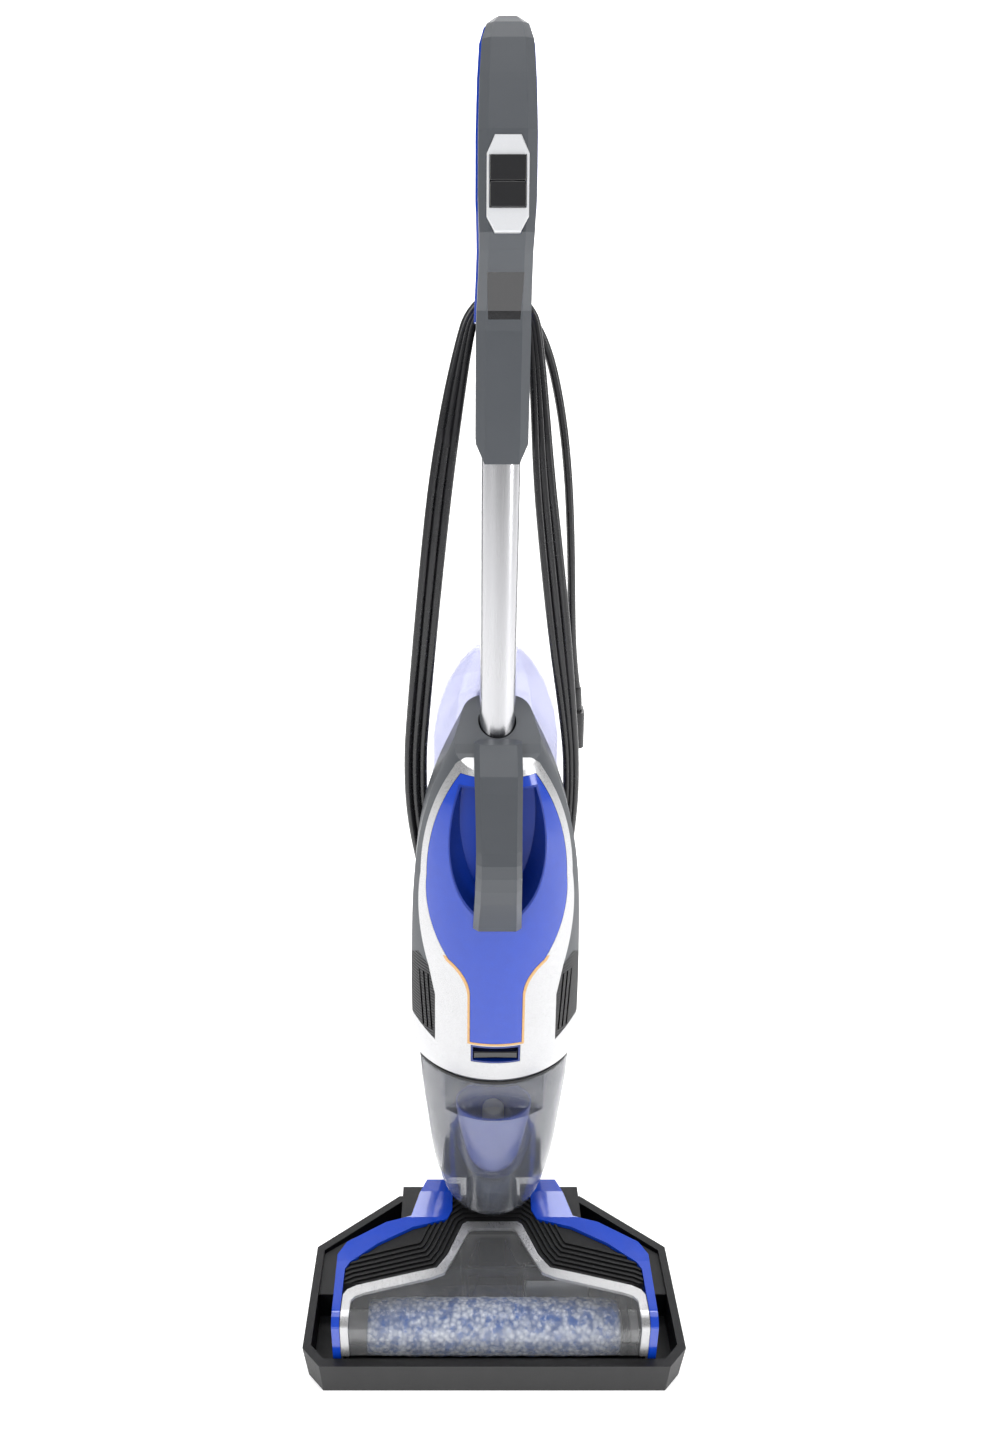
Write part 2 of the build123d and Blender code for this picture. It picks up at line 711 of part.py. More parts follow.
with BuildPart() as tank_seal:
    add(tank_outer.part)
    add(tank_inner.part, mode=Mode.SUBTRACT)
    with Locations((0, 0, rim_z - 3 + seam)):
        Box(300, 300, 20, align=(Align.CENTER, Align.CENTER, Align.MIN), mode=Mode.INTERSECT)
tank_seal.part.label = "tank_seal"
export_step(tank_seal.part, "parts/tank_seal.step")

with BuildPart() as cup_outer:
    loft(sections=cup_sections(0.0))
with BuildPart() as cup_inner:
    loft(sections=cup_sections(1.8))
with BuildPart() as tank_cup:
    add(cup_outer.part)
    add(cup_inner.part, mode=Mode.SUBTRACT)
tank_cup.part.label = "tank_cup"
export_step(tank_cup.part, "parts/tank_cup.step")

float_radius = 11.0
float_base = cup_top - 24
with BuildPart() as tank_float:
    with Locations((0, cup_y, float_base)):
        Cylinder(float_radius, 18, align=(Align.CENTER, Align.CENTER, Align.MIN))
    fillet(tank_float.edges().filter_by(GeomType.CIRCLE), 4)
tank_float.part.label = "tank_float"
export_step(tank_float.part, "parts/tank_float.step")

# block at the bottom of the tank that the suction duct plugs into
with BuildPart() as tank_inlet:
    with BuildSketch(Plane.XZ.offset(6)):
        with BuildLine():
            Polyline(*mirrored([(22, tank_base + 5), (27, tank_base + 12), (20, tank_base + 21)]), close=True)
        make_face()
    extrude(amount=34)
    add(tank_inner.part, mode=Mode.INTERSECT)
    add(tank_cup.part, mode=Mode.SUBTRACT)
tank_inlet.part.label = "tank_inlet"
export_step(tank_inlet.part, "parts/tank_inlet.step")


# ---------------------------------------------------------------- body covers
def bz(rise):
    """Height in the body from its share of the body's real height."""
    return body_base + rise * body_height / 357.0


def collar_cut(drop=0.0):
    """Side view of what the sloping top of the body cuts away."""
    return plate([(-90, bz(303) - drop), (-44, bz(307) - drop), (-13, bz(321) - drop), (-6, bz(327) - drop),
                  (50, bz(361) - drop), (50, bz(372)), (-90, bz(372))], Plane.YZ)


def front_zone(sketch):
    """Solid in front of the zone plane, behind a front view outline."""
    with BuildPart() as zone:
        extrude(to_extrude=sketch, amount=140, mode=Mode.ADD)
    return zone.part


zone_plane = Plane.XZ.offset(-22)


def panel_face(grow=0.0):
    """Front view of the blue panel: a shield that runs down into a narrow neck."""
    with BuildSketch(zone_plane) as sketch:
        with BuildLine():
            Line((0, bz(308) + grow), (33 + grow, bz(308) + grow))
            ThreePointArc((33 + grow, bz(308) + grow), (57 + grow, bz(256)), (64 + grow, bz(206)))
            ThreePointArc((64 + grow, bz(206)), (59 + grow, bz(159)), (44 + grow, bz(130) - grow))
            ThreePointArc((44 + grow, bz(130) - grow), (30 + grow, bz(116) - grow),
                          (24.5 + grow, bz(98) - grow))
            Line((24.5 + grow, bz(98) - grow), (24.5 + grow, bz(44) - grow))
            Line((24.5 + grow, bz(44) - grow), (0, bz(44) - grow))
            mirror(about=Plane.YZ)
        make_face()
    return sketch.sketch


def bezel_face():
    """Front view of the silver bezel's outer edge, with the band around the bottom of the body."""
    with BuildSketch(zone_plane) as sketch:
        with BuildLine():
            Line((0, bz(319)), (28, bz(319)))
            ThreePointArc((28, bz(319)), (34.5, bz(316.5)), (38.5, bz(311)))
            ThreePointArc((38.5, bz(311)), (62.5, bz(256)), (69.5, bz(206)))
            ThreePointArc((69.5, bz(206)), (71.5, bz(160)), (63, bz(115)))
            Line((63, bz(115)), (57, bz(86)))
            Line((57, bz(86)), (57.5, bz(33)))
            Line((57.5, bz(33)), (100, bz(60)))
            Line((100, bz(60)), (100, bz(-20)))
            Line((100, bz(-20)), (0, bz(-20)))
            mirror(about=Plane.YZ)
        make_face()
    return sketch.sketch


def grip_face(side, inset=0.0):
    """Front view of a ribbed grip let into the side of the body."""
    i = inset
    points = [(63 + i, bz(115) - i), (57 + i, bz(86)), (57.5 + i, bz(33) + 1.2 * i), (100, bz(60) + i),
              (100, bz(94)), (73, bz(123) - i)]
    return plate([(side * x, z) for x, z in points], zone_plane)


with BuildPart() as body_form:
    loft(sections=body_sections())
    extrude(to_extrude=collar_cut(), amount=120, both=True, mode=Mode.SUBTRACT)
with BuildPart() as body_core:
    loft(sections=body_sections(inset=shell_wall))
    extrude(to_extrude=collar_cut(drop=shell_wall), amount=120, both=True, mode=Mode.SUBTRACT)
    with Locations((0, 0, collar_top - shell_wall)):
        Box(200, 200, 40, align=(Align.CENTER, Align.CENTER, Align.MIN), mode=Mode.SUBTRACT)
with BuildPart() as body_wall:
    add(body_form.part)
    add(body_core.part, mode=Mode.SUBTRACT)
    with Locations((0, tube_y, collar_top)):
        Cylinder(tube_radius + 1.2, 200, mode=Mode.SUBTRACT)

# finger well behind the carry handle
well_back_y = -24.0


def well_face(y, half, bulge, top, bottom, foot):
    """Front view of the finger well at depth y."""
    with BuildSketch(Plane.XZ.offset(-y)) as sketch:
        with BuildLine():
            Line((-half, top), (half, top))
            ThreePointArc((half, top), (bulge, (top + bottom) / 2 + 4), (foot, bottom))
            Line((foot, bottom), (-foot, bottom))
            ThreePointArc((-foot, bottom), (-bulge, (top + bottom) / 2 + 4), (-half, top))
        make_face()
    return sketch.sketch


with BuildPart() as well_form:
    loft(sections=[well_face(-66, 46, 66, bz(303), bz(176), 22),
                   well_face(well_back_y, 33, 35, bz(298), bz(194), 22)])
with BuildPart() as well_space:
    loft(sections=[well_face(-66.1, 44, 64, bz(301), bz(178), 20),
                   well_face(well_back_y + 0.1, 31, 33, bz(296), bz(196), 20)])
with BuildPart() as grip_well:
    add(well_form.part)
    add(well_space.part, mode=Mode.SUBTRACT)
    add(body_form.part, mode=Mode.INTERSECT)
grip_well.part.label = "grip_well"
export_step(grip_well.part, "parts/grip_well.step")

grille_hole = 3.0
grille_pitch = 5.2
with BuildPart() as exhaust_grille:
    extrude(to_extrude=well_face(well_back_y + seam, 33, 35, bz(298), bz(194), 22), amount=-2)
    with BuildSketch(Plane.XZ.offset(-well_back_y - 10)):
        for side in (1, -1):
            with Locations((side * 26, bz(246))):
                with GridLocations(grille_pitch, grille_pitch, 2, 15):
                    Circle(grille_hole / 2)
            with Locations((side * 26, bz(246) + grille_pitch / 2)):
                with GridLocations(grille_pitch, grille_pitch, 1, 15):
                    Circle(grille_hole / 2)
    extrude(amount=-30, mode=Mode.SUBTRACT)
exhaust_grille.part.label = "exhaust_grille"
export_step(exhaust_grille.part, "parts/exhaust_grille.step")

panel_zone = front_zone(panel_face(-seam))
line_zone = front_zone(panel_face(2.2))
panel_hole = front_zone(panel_face(0.0))

with BuildPart() as front_panel:
    add(body_wall.part)
    add(panel_zone, mode=Mode.INTERSECT)
    add(well_form.part, mode=Mode.SUBTRACT)
front_panel.part.label = "front_panel"
export_step(front_panel.part, "parts/front_panel.step")

with BuildPart() as accent_line:
    add(body_wall.part)
    add(line_zone, mode=Mode.INTERSECT)
    add(panel_hole, mode=Mode.SUBTRACT)
    with Locations((0, 0, bz(133))):
        Box(300, 300, 600, align=(Align.CENTER, Align.CENTER, Align.MIN), mode=Mode.SUBTRACT)
accent_line.part.label = "accent_line"
export_step(accent_line.part, "parts/accent_line.step")

latch_half = 23.5
latch_low = bz(21)
latch_high = bz(41)
with BuildPart() as bezel:
    add(body_wall.part)
    add(front_zone(bezel_face()), mode=Mode.INTERSECT)
    add(panel_hole, mode=Mode.SUBTRACT)
    add(accent_line.part, mode=Mode.SUBTRACT)
    add(well_form.part, mode=Mode.SUBTRACT)
    with Locations((0, -50, (latch_low + latch_high) / 2)):
        Box(2 * latch_half, 60, latch_high - latch_low, mode=Mode.SUBTRACT)
bezel.part.label = "bezel"
export_step(bezel.part, "parts/bezel.step")


with BuildPart() as side_grips:
    add(body_wall.part)
    add(front_zone(grip_face(1, seam)) + front_zone(grip_face(-1, seam)), mode=Mode.INTERSECT)
    add(front_zone(bezel_face()), mode=Mode.SUBTRACT)
    for side in (1, -1):
        for groove in range(5):
            with Locations((side * (62 + 4.2 * groove), -60, bz(74))):
                Box(1.6, 2 * (60 - 17.5) - 9 * groove, 62, rotation=(0, side * 3, 0), mode=Mode.SUBTRACT)
side_grips.part.label = "side_grips"
export_step(side_grips.part, "parts/side_grips.step")

with BuildPart() as body_shell:
    add(body_wall.part)
    add(front_zone(bezel_face()), mode=Mode.SUBTRACT)
    add(front_zone(grip_face(1)), mode=Mode.SUBTRACT)
    add(front_zone(grip_face(-1)), mode=Mode.SUBTRACT)
    add(well_form.part, mode=Mode.SUBTRACT)
body_shell.part.label = "body_shell"
export_step(body_shell.part, "parts/body_shell.step")

latch_back_y = -49.5
with BuildPart() as latch_pocket:
    with Locations((0, latch_back_y, (latch_low + latch_high) / 2)):
        Box(2 * latch_half - 2 * seam, 26, latch_high - latch_low - 2 * seam,
            align=(Align.CENTER, Align.MAX, Align.CENTER))
    with Locations((0, latch_back_y - 2, (latch_low + latch_high) / 2)):
        Box(2 * latch_half - 4, 26, latch_high - latch_low - 4, align=(Align.CENTER, Align.MAX, Align.CENTER),
            mode=Mode.SUBTRACT)
    add(body_form.part, mode=Mode.INTERSECT)
latch_pocket.part.label = "latch_pocket"
export_step(latch_pocket.part, "parts/latch_pocket.step")

latch_travel = 2.0
with BuildPart() as tank_latch:
    with Locations((0, latch_back_y - 2 - latch_travel - clear, latch_low + 3)):
        Box(2 * latch_half - 5, 5.5, 8, align=(Align.CENTER, Align.MAX, Align.MIN))
    fillet(tank_latch.edges().group_by(Axis.Y)[0], 1.5)
tank_latch.part.label = "tank_latch"
export_step(tank_latch.part, "parts/tank_latch.step")


# ---------------------------------------------------------------- carry handle
def bar_section(z, front, rear, half, bevel_x, bevel_y, inset=0.0):
    """Level section through a handle: a rectangle with bevelled corners."""
    w = half - inset
    f = front + inset
    r = rear - inset
    corner = [(w - bevel_x, f), (w, f + bevel_y), (w, r - bevel_y), (w - bevel_x, r)]
    return plate(mirrored(corner), Plane.XY.offset(z))


carry_stations = [(168, -60.5, -43, 21.8), (186, -68.5, -48, 21.2), (206, -77, -54, 20.4),
                  (222, -82, -58, 20), (236, -84, -59, 19.7), (248, -83, -56, 19.5),
                  (258, -79, -50, 19.6), (270, -71.5, -42, 19.8),
                  (285, -61, -32, 20.2), (300, -51, -20, 20.6), (312, -42, -12, 21), (322, -30, -8, 21),
                  (331, -17, -5, 21)]
with BuildPart() as carry_form:
    loft(sections=[bar_section(bz(rise), front, rear, half, 4.8, 5)
                   for rise, front, rear, half in carry_stations],
         ruled=True)
    add(body_form.part, mode=Mode.SUBTRACT)
    with Locations((0, tube_y, bz(300))):
        Cylinder(tube_radius + 1.2, 100, mode=Mode.SUBTRACT)
with BuildPart() as carry_handle:
    add(carry_form.part.solids().sort_by(SortBy.VOLUME)[-1])
carry_handle.part.label = "carry_handle"
export_step(carry_handle.part, "parts/carry_handle.step")

# ---------------------------------------------------------------- inside the body
filter_z = body_base + 3
with BuildPart() as air_filter:
    with Locations((0, motor_axis_y, filter_z)):
        Cylinder(36, 12, align=(Align.CENTER, Align.CENTER, Align.MIN))
        Cylinder(10, 40, mode=Mode.SUBTRACT)
air_filter.part.label = "air_filter"
export_step(air_filter.part, "parts/air_filter.step")

chamber_z = filter_z + 14
with BuildPart() as fan_chamber:
    with Locations((0, motor_axis_y, chamber_z)):
        Cylinder(fan_radius + 5, fan_height + 8, align=(Align.CENTER, Align.CENTER, Align.MIN))
    with Locations((0, motor_axis_y, chamber_z + 2)):
        Cylinder(fan_radius + 2, fan_height + 4, align=(Align.CENTER, Align.CENTER, Align.MIN),
                 mode=Mode.SUBTRACT)
    with Locations((0, motor_axis_y, chamber_z)):
        Cylinder(14, 10, mode=Mode.SUBTRACT)
    with Locations((0, motor_axis_y, chamber_z + fan_height)):
        Cylinder(fan_shaft_radius + clear, 20, align=(Align.CENTER, Align.CENTER, Align.MIN),
                 mode=Mode.SUBTRACT)
    with Locations((0, motor_axis_y - fan_radius - 4, chamber_z)):
        Box(60, 14, 60, mode=Mode.SUBTRACT)
fan_chamber.part.label = "fan_chamber"
export_step(fan_chamber.part, "parts/fan_chamber.step")

motor_z0 = chamber_z + fan_height + 8.2
with BuildPart() as suction_motor:
    with Locations((0, motor_axis_y, motor_z0)):
        Cylinder(suction_motor_radius, suction_motor_height, align=(Align.CENTER, Align.CENTER, Align.MIN))
        Cylinder(fan_shaft_radius + run_gap, 60, mode=Mode.SUBTRACT)
suction_motor.part.label = "suction_motor"
export_step(suction_motor.part, "parts/suction_motor.step")

with BuildPart() as motor_fan:
    with Locations((0, motor_axis_y, chamber_z + 4)):
        Cylinder(fan_radius, 2, align=(Align.CENTER, Align.CENTER, Align.MIN))
        Cylinder(8, fan_height, align=(Align.CENTER, Align.CENTER, Align.MIN))
        Cylinder(fan_shaft_radius, fan_height + 30, align=(Align.CENTER, Align.CENTER, Align.MIN))
    with Locations((0, motor_axis_y, chamber_z + 6)):
        with PolarLocations((fan_radius + 8) / 2, 12):
            Box(fan_radius - 8, 1.6, fan_height - 4, rotation=(0, 0, 20),
                align=(Align.CENTER, Align.CENTER, Align.MIN))
motor_fan.part.label = "motor_fan"
export_step(motor_fan.part, "parts/motor_fan.step")

gear_z = motor_z0 + suction_motor_height + 6
with BuildPart() as water_pump:
    with Locations((-34, 6, gear_z)):
        Box(34, 30, 34, align=(Align.CENTER, Align.CENTER, Align.MIN))
    with Locations((-34, 6, gear_z + 34)):
        Cylinder(4, 12, align=(Align.CENTER, Align.CENTER, Align.MIN))
fillet(water_pump.edges().filter_by(Axis.Z).group_by(SortBy.LENGTH)[-1], 3)
water_pump.part.label = "water_pump"
export_step(water_pump.part, "parts/water_pump.step")

with BuildPart() as circuit_board:
    with Locations((30, 30, gear_z)):
        Box(52, 1.6, 44, align=(Align.CENTER, Align.CENTER, Align.MIN))
    with Locations((20, 29.2, gear_z + 20)):
        Box(12, 8, 16, align=(Align.CENTER, Align.MAX, Align.MIN))
    with Locations((42, 29.2, gear_z + 10)):
        Box(10, 12, 10, align=(Align.CENTER, Align.MAX, Align.MIN))
circuit_board.part.label = "circuit_board"
export_step(circuit_board.part, "parts/circuit_board.step")

# ---------------------------------------------------------------- tube
tube_low = gear_z + 66
tube_high = stem_base + 70
with BuildPart() as handle_tube:
    with Locations((0, tube_y, tube_low)):
        Cylinder(tube_radius, tube_high - tube_low, align=(Align.CENTER, Align.CENTER, Align.MIN))
        Cylinder(tube_radius - tube_wall, 3000, mode=Mode.SUBTRACT)
handle_tube.part.label = "handle_tube"
export_step(handle_tube.part, "parts/handle_tube.step")


# ---------------------------------------------------------------- handle
def sz(rise):
    """Height in the handle from its share of the handle's real height."""
    return stem_base + rise * handle_height / 299.0




handle_bevel = 7.0          # the flat front face is narrower than the handle by this on each side
stem_stations = [(0, -9, 42, handle_half), (98, -10, 42, handle_half)]
grip_stations = [(98, -10, 42, handle_half), (112, -11.5, 33, handle_half - 0.3),
                 (134, -27, 18, handle_half - 1.1), (152, -40, 6, handle_half - 1.6),
                 (163, -46, 1.5, handle_half - 1.3), (185, -43.5, -5, handle_half - 0.4),
                 (227, -34, 2, handle_half - 0.4), (262, -20, 15, handle_half - 1.4),
                 (284, -10.5, 23, handle_half - 2.8), (294, -4, 22, handle_half - 6),
                 (299, 4, 17, handle_half - 11.5)]


def handle_sections(stations, inset=0.0, proud=0.0):
    """Sections of the handle's outer form or of the space inside it."""
    sections = []
    for rise, front, rear, half in stations:
        bevel = handle_bevel * half / handle_half
        sections.append(bar_section(sz(rise), front, rear, half + proud, bevel, 6, inset=inset))
    return sections


bottom_cut = mirrored([(handle_half - handle_bevel, sz(0)), (handle_half + 1, sz(17)),
                       (handle_half + 1, top_z + 1)])
with BuildPart() as handle_form:
    loft(sections=handle_sections(stem_stations), ruled=True)
    loft(sections=handle_sections(grip_stations), ruled=True)
    extrude(to_extrude=plate(bottom_cut, Plane.XZ.offset(200)), amount=-400, mode=Mode.INTERSECT)
with BuildPart() as handle_core:
    loft(sections=handle_sections(stem_stations, inset=handle_wall), ruled=True)
    loft(sections=handle_sections(grip_stations[:-2], inset=handle_wall), ruled=True)
    with Locations((0, 0, sz(0))):
        Box(200, 200, 20, mode=Mode.SUBTRACT)
with BuildPart() as handle_skin:
    add(handle_form.part)
    add(handle_core.part, mode=Mode.SUBTRACT)
    with Locations((0, tube_y, stem_base)):
        Cylinder(tube_radius, 60, mode=Mode.SUBTRACT)
with BuildPart() as grip_back_zone:
    with BuildSketch(Plane.YZ):
        with BuildLine():
            Polyline((60, sz(96)), (30, sz(103)), (4, sz(140)), (-14, sz(178)), (-12, sz(205)), (-5, sz(235)),
                     (14, sz(290)), (16, sz(310)), (60, sz(310)), close=True)
        make_face()
    extrude(amount=60, both=True)
with BuildPart() as stem_back_zone:
    with Locations((0, 18, sz(-20))):
        Box(200, 200, sz(112) - sz(-20), align=(Align.CENTER, Align.MIN, Align.MIN))
    add(grip_back_zone.part, mode=Mode.SUBTRACT)

# trigger on the back of the grip
trigger_low = sz(196)
trigger_high = sz(236)
trigger_half = 9.0
pivot_y = -2.5
pivot_z = trigger_high - 6
with BuildPart() as trigger_hole:
    with Locations((0, 0, (trigger_low + trigger_high) / 2)):
        Box(2 * trigger_half, 120, trigger_high - trigger_low)

panel_plane = Plane(origin=(0, -41.4, sz(193)), x_dir=(1, 0, 0),
                    z_dir=(0, -cos(radians(12.7)), sin(radians(12.7))))
panel_half_height = 31.0
panel_half_width = 14.6
panel_outline = [(9, -panel_half_height), (panel_half_width, -21), (panel_half_width, 19),
                 (9, panel_half_height)]
with BuildPart() as panel_cut:
    with BuildSketch(panel_plane):
        with BuildLine():
            Polyline(*mirrored(panel_outline), close=True)
        make_face()
        offset(amount=seam)
    extrude(amount=8, both=True)

insert_zone = plate(mirrored([(12, sz(106)), (13.5, sz(138))]), Plane.XZ.offset(-6))
screw_z = sz(45)
with BuildPart() as screw_holes:
    with BuildSketch(Plane.YZ):
        with Locations((-1, screw_z)):
            Circle(1.6)
    extrude(amount=40, both=True)

with BuildPart() as handle_front:
    add(handle_skin.part)
    add(grip_back_zone.part, mode=Mode.SUBTRACT)
    add(stem_back_zone.part, mode=Mode.SUBTRACT)
    add(panel_cut.part, mode=Mode.SUBTRACT)
    extrude(to_extrude=insert_zone, amount=100, mode=Mode.SUBTRACT)
    add(screw_holes.part, mode=Mode.SUBTRACT)
handle_front.part.label = "handle_front"
export_step(handle_front.part, "parts/handle_front.step")

with BuildPart() as stem_back:
    add(handle_skin.part)
    add(stem_back_zone.part, mode=Mode.INTERSECT)
stem_back.part.label = "stem_back"
export_step(stem_back.part, "parts/stem_back.step")

with BuildPart() as grip_back:
    loft(sections=handle_sections(grip_stations, proud=1.7), ruled=True)
    add(handle_core.part, mode=Mode.SUBTRACT)
    add(grip_back_zone.part, mode=Mode.INTERSECT)
    add(trigger_hole.part, mode=Mode.SUBTRACT)
    # pin that the trigger turns on
    with BuildSketch(Plane.YZ):
        with Locations((pivot_y, pivot_z)):
            Circle(1.5)
    extrude(amount=handle_half - 2, both=True)
grip_back.part.label = "grip_back"
export_step(grip_back.part, "parts/grip_back.step")

with BuildPart() as elbow_insert:
    add(handle_skin.part)
    extrude(to_extrude=insert_zone, amount=100, mode=Mode.INTERSECT)
    add(grip_back_zone.part, mode=Mode.SUBTRACT)
    add(stem_back_zone.part, mode=Mode.SUBTRACT)
elbow_insert.part.label = "elbow_insert"
export_step(elbow_insert.part, "parts/elbow_insert.step")

# switch panel and its two buttons
button_rise = (-7.2, 9.8)           # middle of each button above the middle of the panel
with BuildPart() as switch_panel:
    with BuildSketch(panel_plane.offset(-3.6)):
        with BuildLine():
            Polyline(*mirrored(panel_outline), close=True)
        make_face()
    extrude(amount=1.2 + 3.6)
    with BuildSketch(panel_plane):
        with Locations(*[(0, rise) for rise in button_rise]):
            Rectangle(button_width + 0.6, button_height + 0.6)
    extrude(amount=8, both=True, mode=Mode.SUBTRACT)
    chamfer(switch_panel.faces().sort_by(Axis((0, 0, 0), panel_plane.z_dir))[-1].outer_wire().edges(), 0.8)
switch_panel.part.label = "switch_panel"
export_step(switch_panel.part, "parts/switch_panel.step")


def push_button(rise):
    """Rectangular push button with rounded edges."""
    with BuildPart() as button:
        with BuildSketch(panel_plane.offset(-3)):
            with Locations((0, rise)):
                RectangleRounded(button_width, button_height, 1.5)
        extrude(amount=3 + 1.2 + 1.4)
        fillet(button.faces().sort_by(Axis((0, 0, 0), panel_plane.z_dir))[-1].edges(), 0.6)
    return button


button_low = push_button(button_rise[0])
button_low.part.label = "button_low"
export_step(button_low.part, "parts/button_low.step")

button_high = push_button(button_rise[1])
button_high.part.label = "button_high"
export_step(button_high.part, "parts/button_high.step")

# trigger, pivoted near its top
with BuildPart() as trigger:
    with BuildSketch(Plane.YZ):
        with BuildLine():
            Polyline((pivot_y - 3.5, trigger_high - 2.5), (pivot_y + 8, trigger_high - 1.5),
                     (10.5, trigger_high - 7),
                     (9, (trigger_low + trigger_high) / 2), (5, trigger_low + 2), (-5, trigger_low + 2),
                     (-7, trigger_low + 14), (pivot_y - 3.5, pivot_z - 4), close=True)
        make_face()
    extrude(amount=trigger_half - clear, both=True)
    with BuildSketch(Plane.YZ):
        with Locations((pivot_y, pivot_z)):
            Circle(1.5 + run_gap)
    extrude(amount=20, both=True, mode=Mode.SUBTRACT)
trigger.part.label = "trigger"
export_step(trigger.part, "parts/trigger.step")

# ---------------------------------------------------------------- cord hooks
hook_radius = 20.0
hook_out = 69.0
stem_rear = stem_stations[0][2]
with BuildPart() as cord_hook:
    with BuildSketch(Plane.XZ.offset(-stem_rear - clear)):
        with Locations((0, hook_z)):
            Circle(hook_radius)
    extrude(amount=stem_rear + clear - hook_out)
    with BuildSketch(Plane.XZ.offset(-hook_out)):
        with Locations((0, hook_z + 13)):
            RectangleRounded(36, 58, 12)
    extrude(amount=-4)
cord_hook.part.label = "cord_hook"
export_step(cord_hook.part, "parts/cord_hook.step")

lower_z = body_base + 45.0
with BuildPart() as lower_hook:
    with BuildSketch(Plane.XZ.offset(-40)):
        with Locations((0, lower_z + 12)):
            Circle(11)
    extrude(amount=40 - hook_out)
    with BuildSketch(Plane.XZ.offset(-hook_out)):
        with Locations((0, lower_z + 2)):
            RectangleRounded(28, 34, 8)
    extrude(amount=-4)
    add(body_form.part, mode=Mode.SUBTRACT)
lower_hook.part.label = "lower_hook"
export_step(lower_hook.part, "parts/lower_hook.step")

# ---------------------------------------------------------------- mains cord
lead_x = 15.0
lead_y = 57.0
gland_top = body_base + 124.0
gland_length = 30.0
with BuildPart() as cord_relief:
    with Locations((lead_x, 40, gland_top)):
        Box(15, lead_y + 6 - 40, 14, align=(Align.CENTER, Align.MIN, Align.MAX))
    add(body_form.part, mode=Mode.SUBTRACT)
    with Locations((lead_x, lead_y, gland_top - 14)):
        Cone(cord_diameter / 2 + 1.2, 6.5, gland_length, align=(Align.CENTER, Align.CENTER, Align.MAX))
cord_relief.part.label = "cord_relief"
export_step(cord_relief.part, "parts/cord_relief.step")

# outlines of the hank, below the hook's axis: five turns hung over both hooks
left_outside = [(-25, -27), (-34, -8), (-44, 26), (-53, 73), (-60, 112),
                (-68, 174), (-76.5, 256), (-84.5, 339), (-85.3, 375), (-83.6, 428),
                (-78, 486), (-60, 566), (-35, 621)]
right_outside = [(25, -27), (33, -8), (37, 26), (43, 73), (48, 112), (57, 174), (68, 256), (76, 334),
                 (80, 376), (81, 428), (77, 486), (60, 566), (35, 621)]
left_inside = [(-15.8, -15.8), (-22, 2), (-29, 49), (-38, 112), (-45, 174),
               (-54, 256), (-62, 339), (-66.5, 375), (-68, 428), (-57, 486),
               (-38.5, 560), (-18, 603)]
right_inside = [(15.8, -15.8), (22, 2), (24.5, 49), (28, 112), (35, 174), (46, 256), (59, 334), (64.5, 375),
                (66, 428), (57, 486), (38.5, 560), (18, 603)]


def loop_face(left, right, top, bottom):
    """Closed loop through its top, its left side, its bottom and its right side."""
    points = [(0, top)] + [(x, hook_z - drop) for x, drop in left]
    points += [(0, bottom)] + [(x, hook_z - drop) for x, drop in right[::-1]]
    with BuildSketch(Plane.XZ.offset(-hank_y)) as sketch:
        with BuildLine():
            Spline(*points, periodic=True)
        make_face()
    return sketch.sketch


with BuildPart() as cord_hank:
    extrude(to_extrude=loop_face(left_outside, right_outside, hook_z + 38, lower_z - 24), amount=-hank_thick)
    extrude(to_extrude=loop_face(left_inside, right_inside, hook_z + hook_radius + 2, lower_z - 1),
            amount=-hank_thick, mode=Mode.SUBTRACT)
cord_hank.part.label = "cord_hank"
export_step(cord_hank.part, "parts/cord_hank.step")

with BuildPart() as cord_lead:
    with Locations((lead_x, lead_y, gland_top - 14 - gland_length)):
        Cylinder(cord_diameter / 2, 34, align=(Align.CENTER, Align.CENTER, Align.MAX))
    add(cord_hank.part, mode=Mode.SUBTRACT)
cord_lead.part.label = "cord_lead"
export_step(cord_lead.part, "parts/cord_lead.step")

plug_x = 77.0
plug_z = hook_z - 314.0
plug_y = tail_y + 8.5
tail_route = [(22, tail_y - 9, hook_z + 18), (40, tail_y - 2, hook_z - 11), (53, tail_y + 0.5, hook_z - 61),
              (61, tail_y + 1, hook_z - 116), (66, tail_y + 2, hook_z - 181), (69, tail_y + 4, hook_z - 241),
              (72.5, tail_y + 6.5, hook_z - 286), (plug_x, plug_y, plug_z)]


def tail_radii():
    """Radius of each arc: as large as the two runs beside it allow."""
    radii = []
    for before, point, after in zip(tail_route, tail_route[1:], tail_route[2:]):
        first = Vector(*point) - Vector(*before)
        second = Vector(*after) - Vector(*point)
        half_turn = radians(first.get_angle(second)) / 2
        radii.append(0.45 * min(first.length, second.length) * cos(half_turn) / sin(half_turn))
    return radii


print("tail radii", [round(radius) for radius in tail_radii()])
with BuildPart() as cord_tail:
    with BuildLine() as tail_path:
        FilletPolyline(*tail_route, radius=tail_radii())
    with BuildSketch(Plane(origin=tail_path.line @ 0, z_dir=tail_path.line % 0)):
        Circle(cord_diameter / 2)
    sweep()
    tail_length = tail_path.wires()[0].length
    print("tail length", round(tail_length), "volume share",
          round(cord_tail.part.volume / tail_length / (pi * cord_diameter**2 / 4), 3))
    add(cord_hank.part, mode=Mode.SUBTRACT)
    with Locations((plug_x, tail_y, plug_z)):
        Box(60, 60, 20, align=(Align.CENTER, Align.CENTER, Align.MAX), mode=Mode.SUBTRACT)
cord_tail.part.label = "cord_tail"
export_step(cord_tail.part, "parts/cord_tail.step")

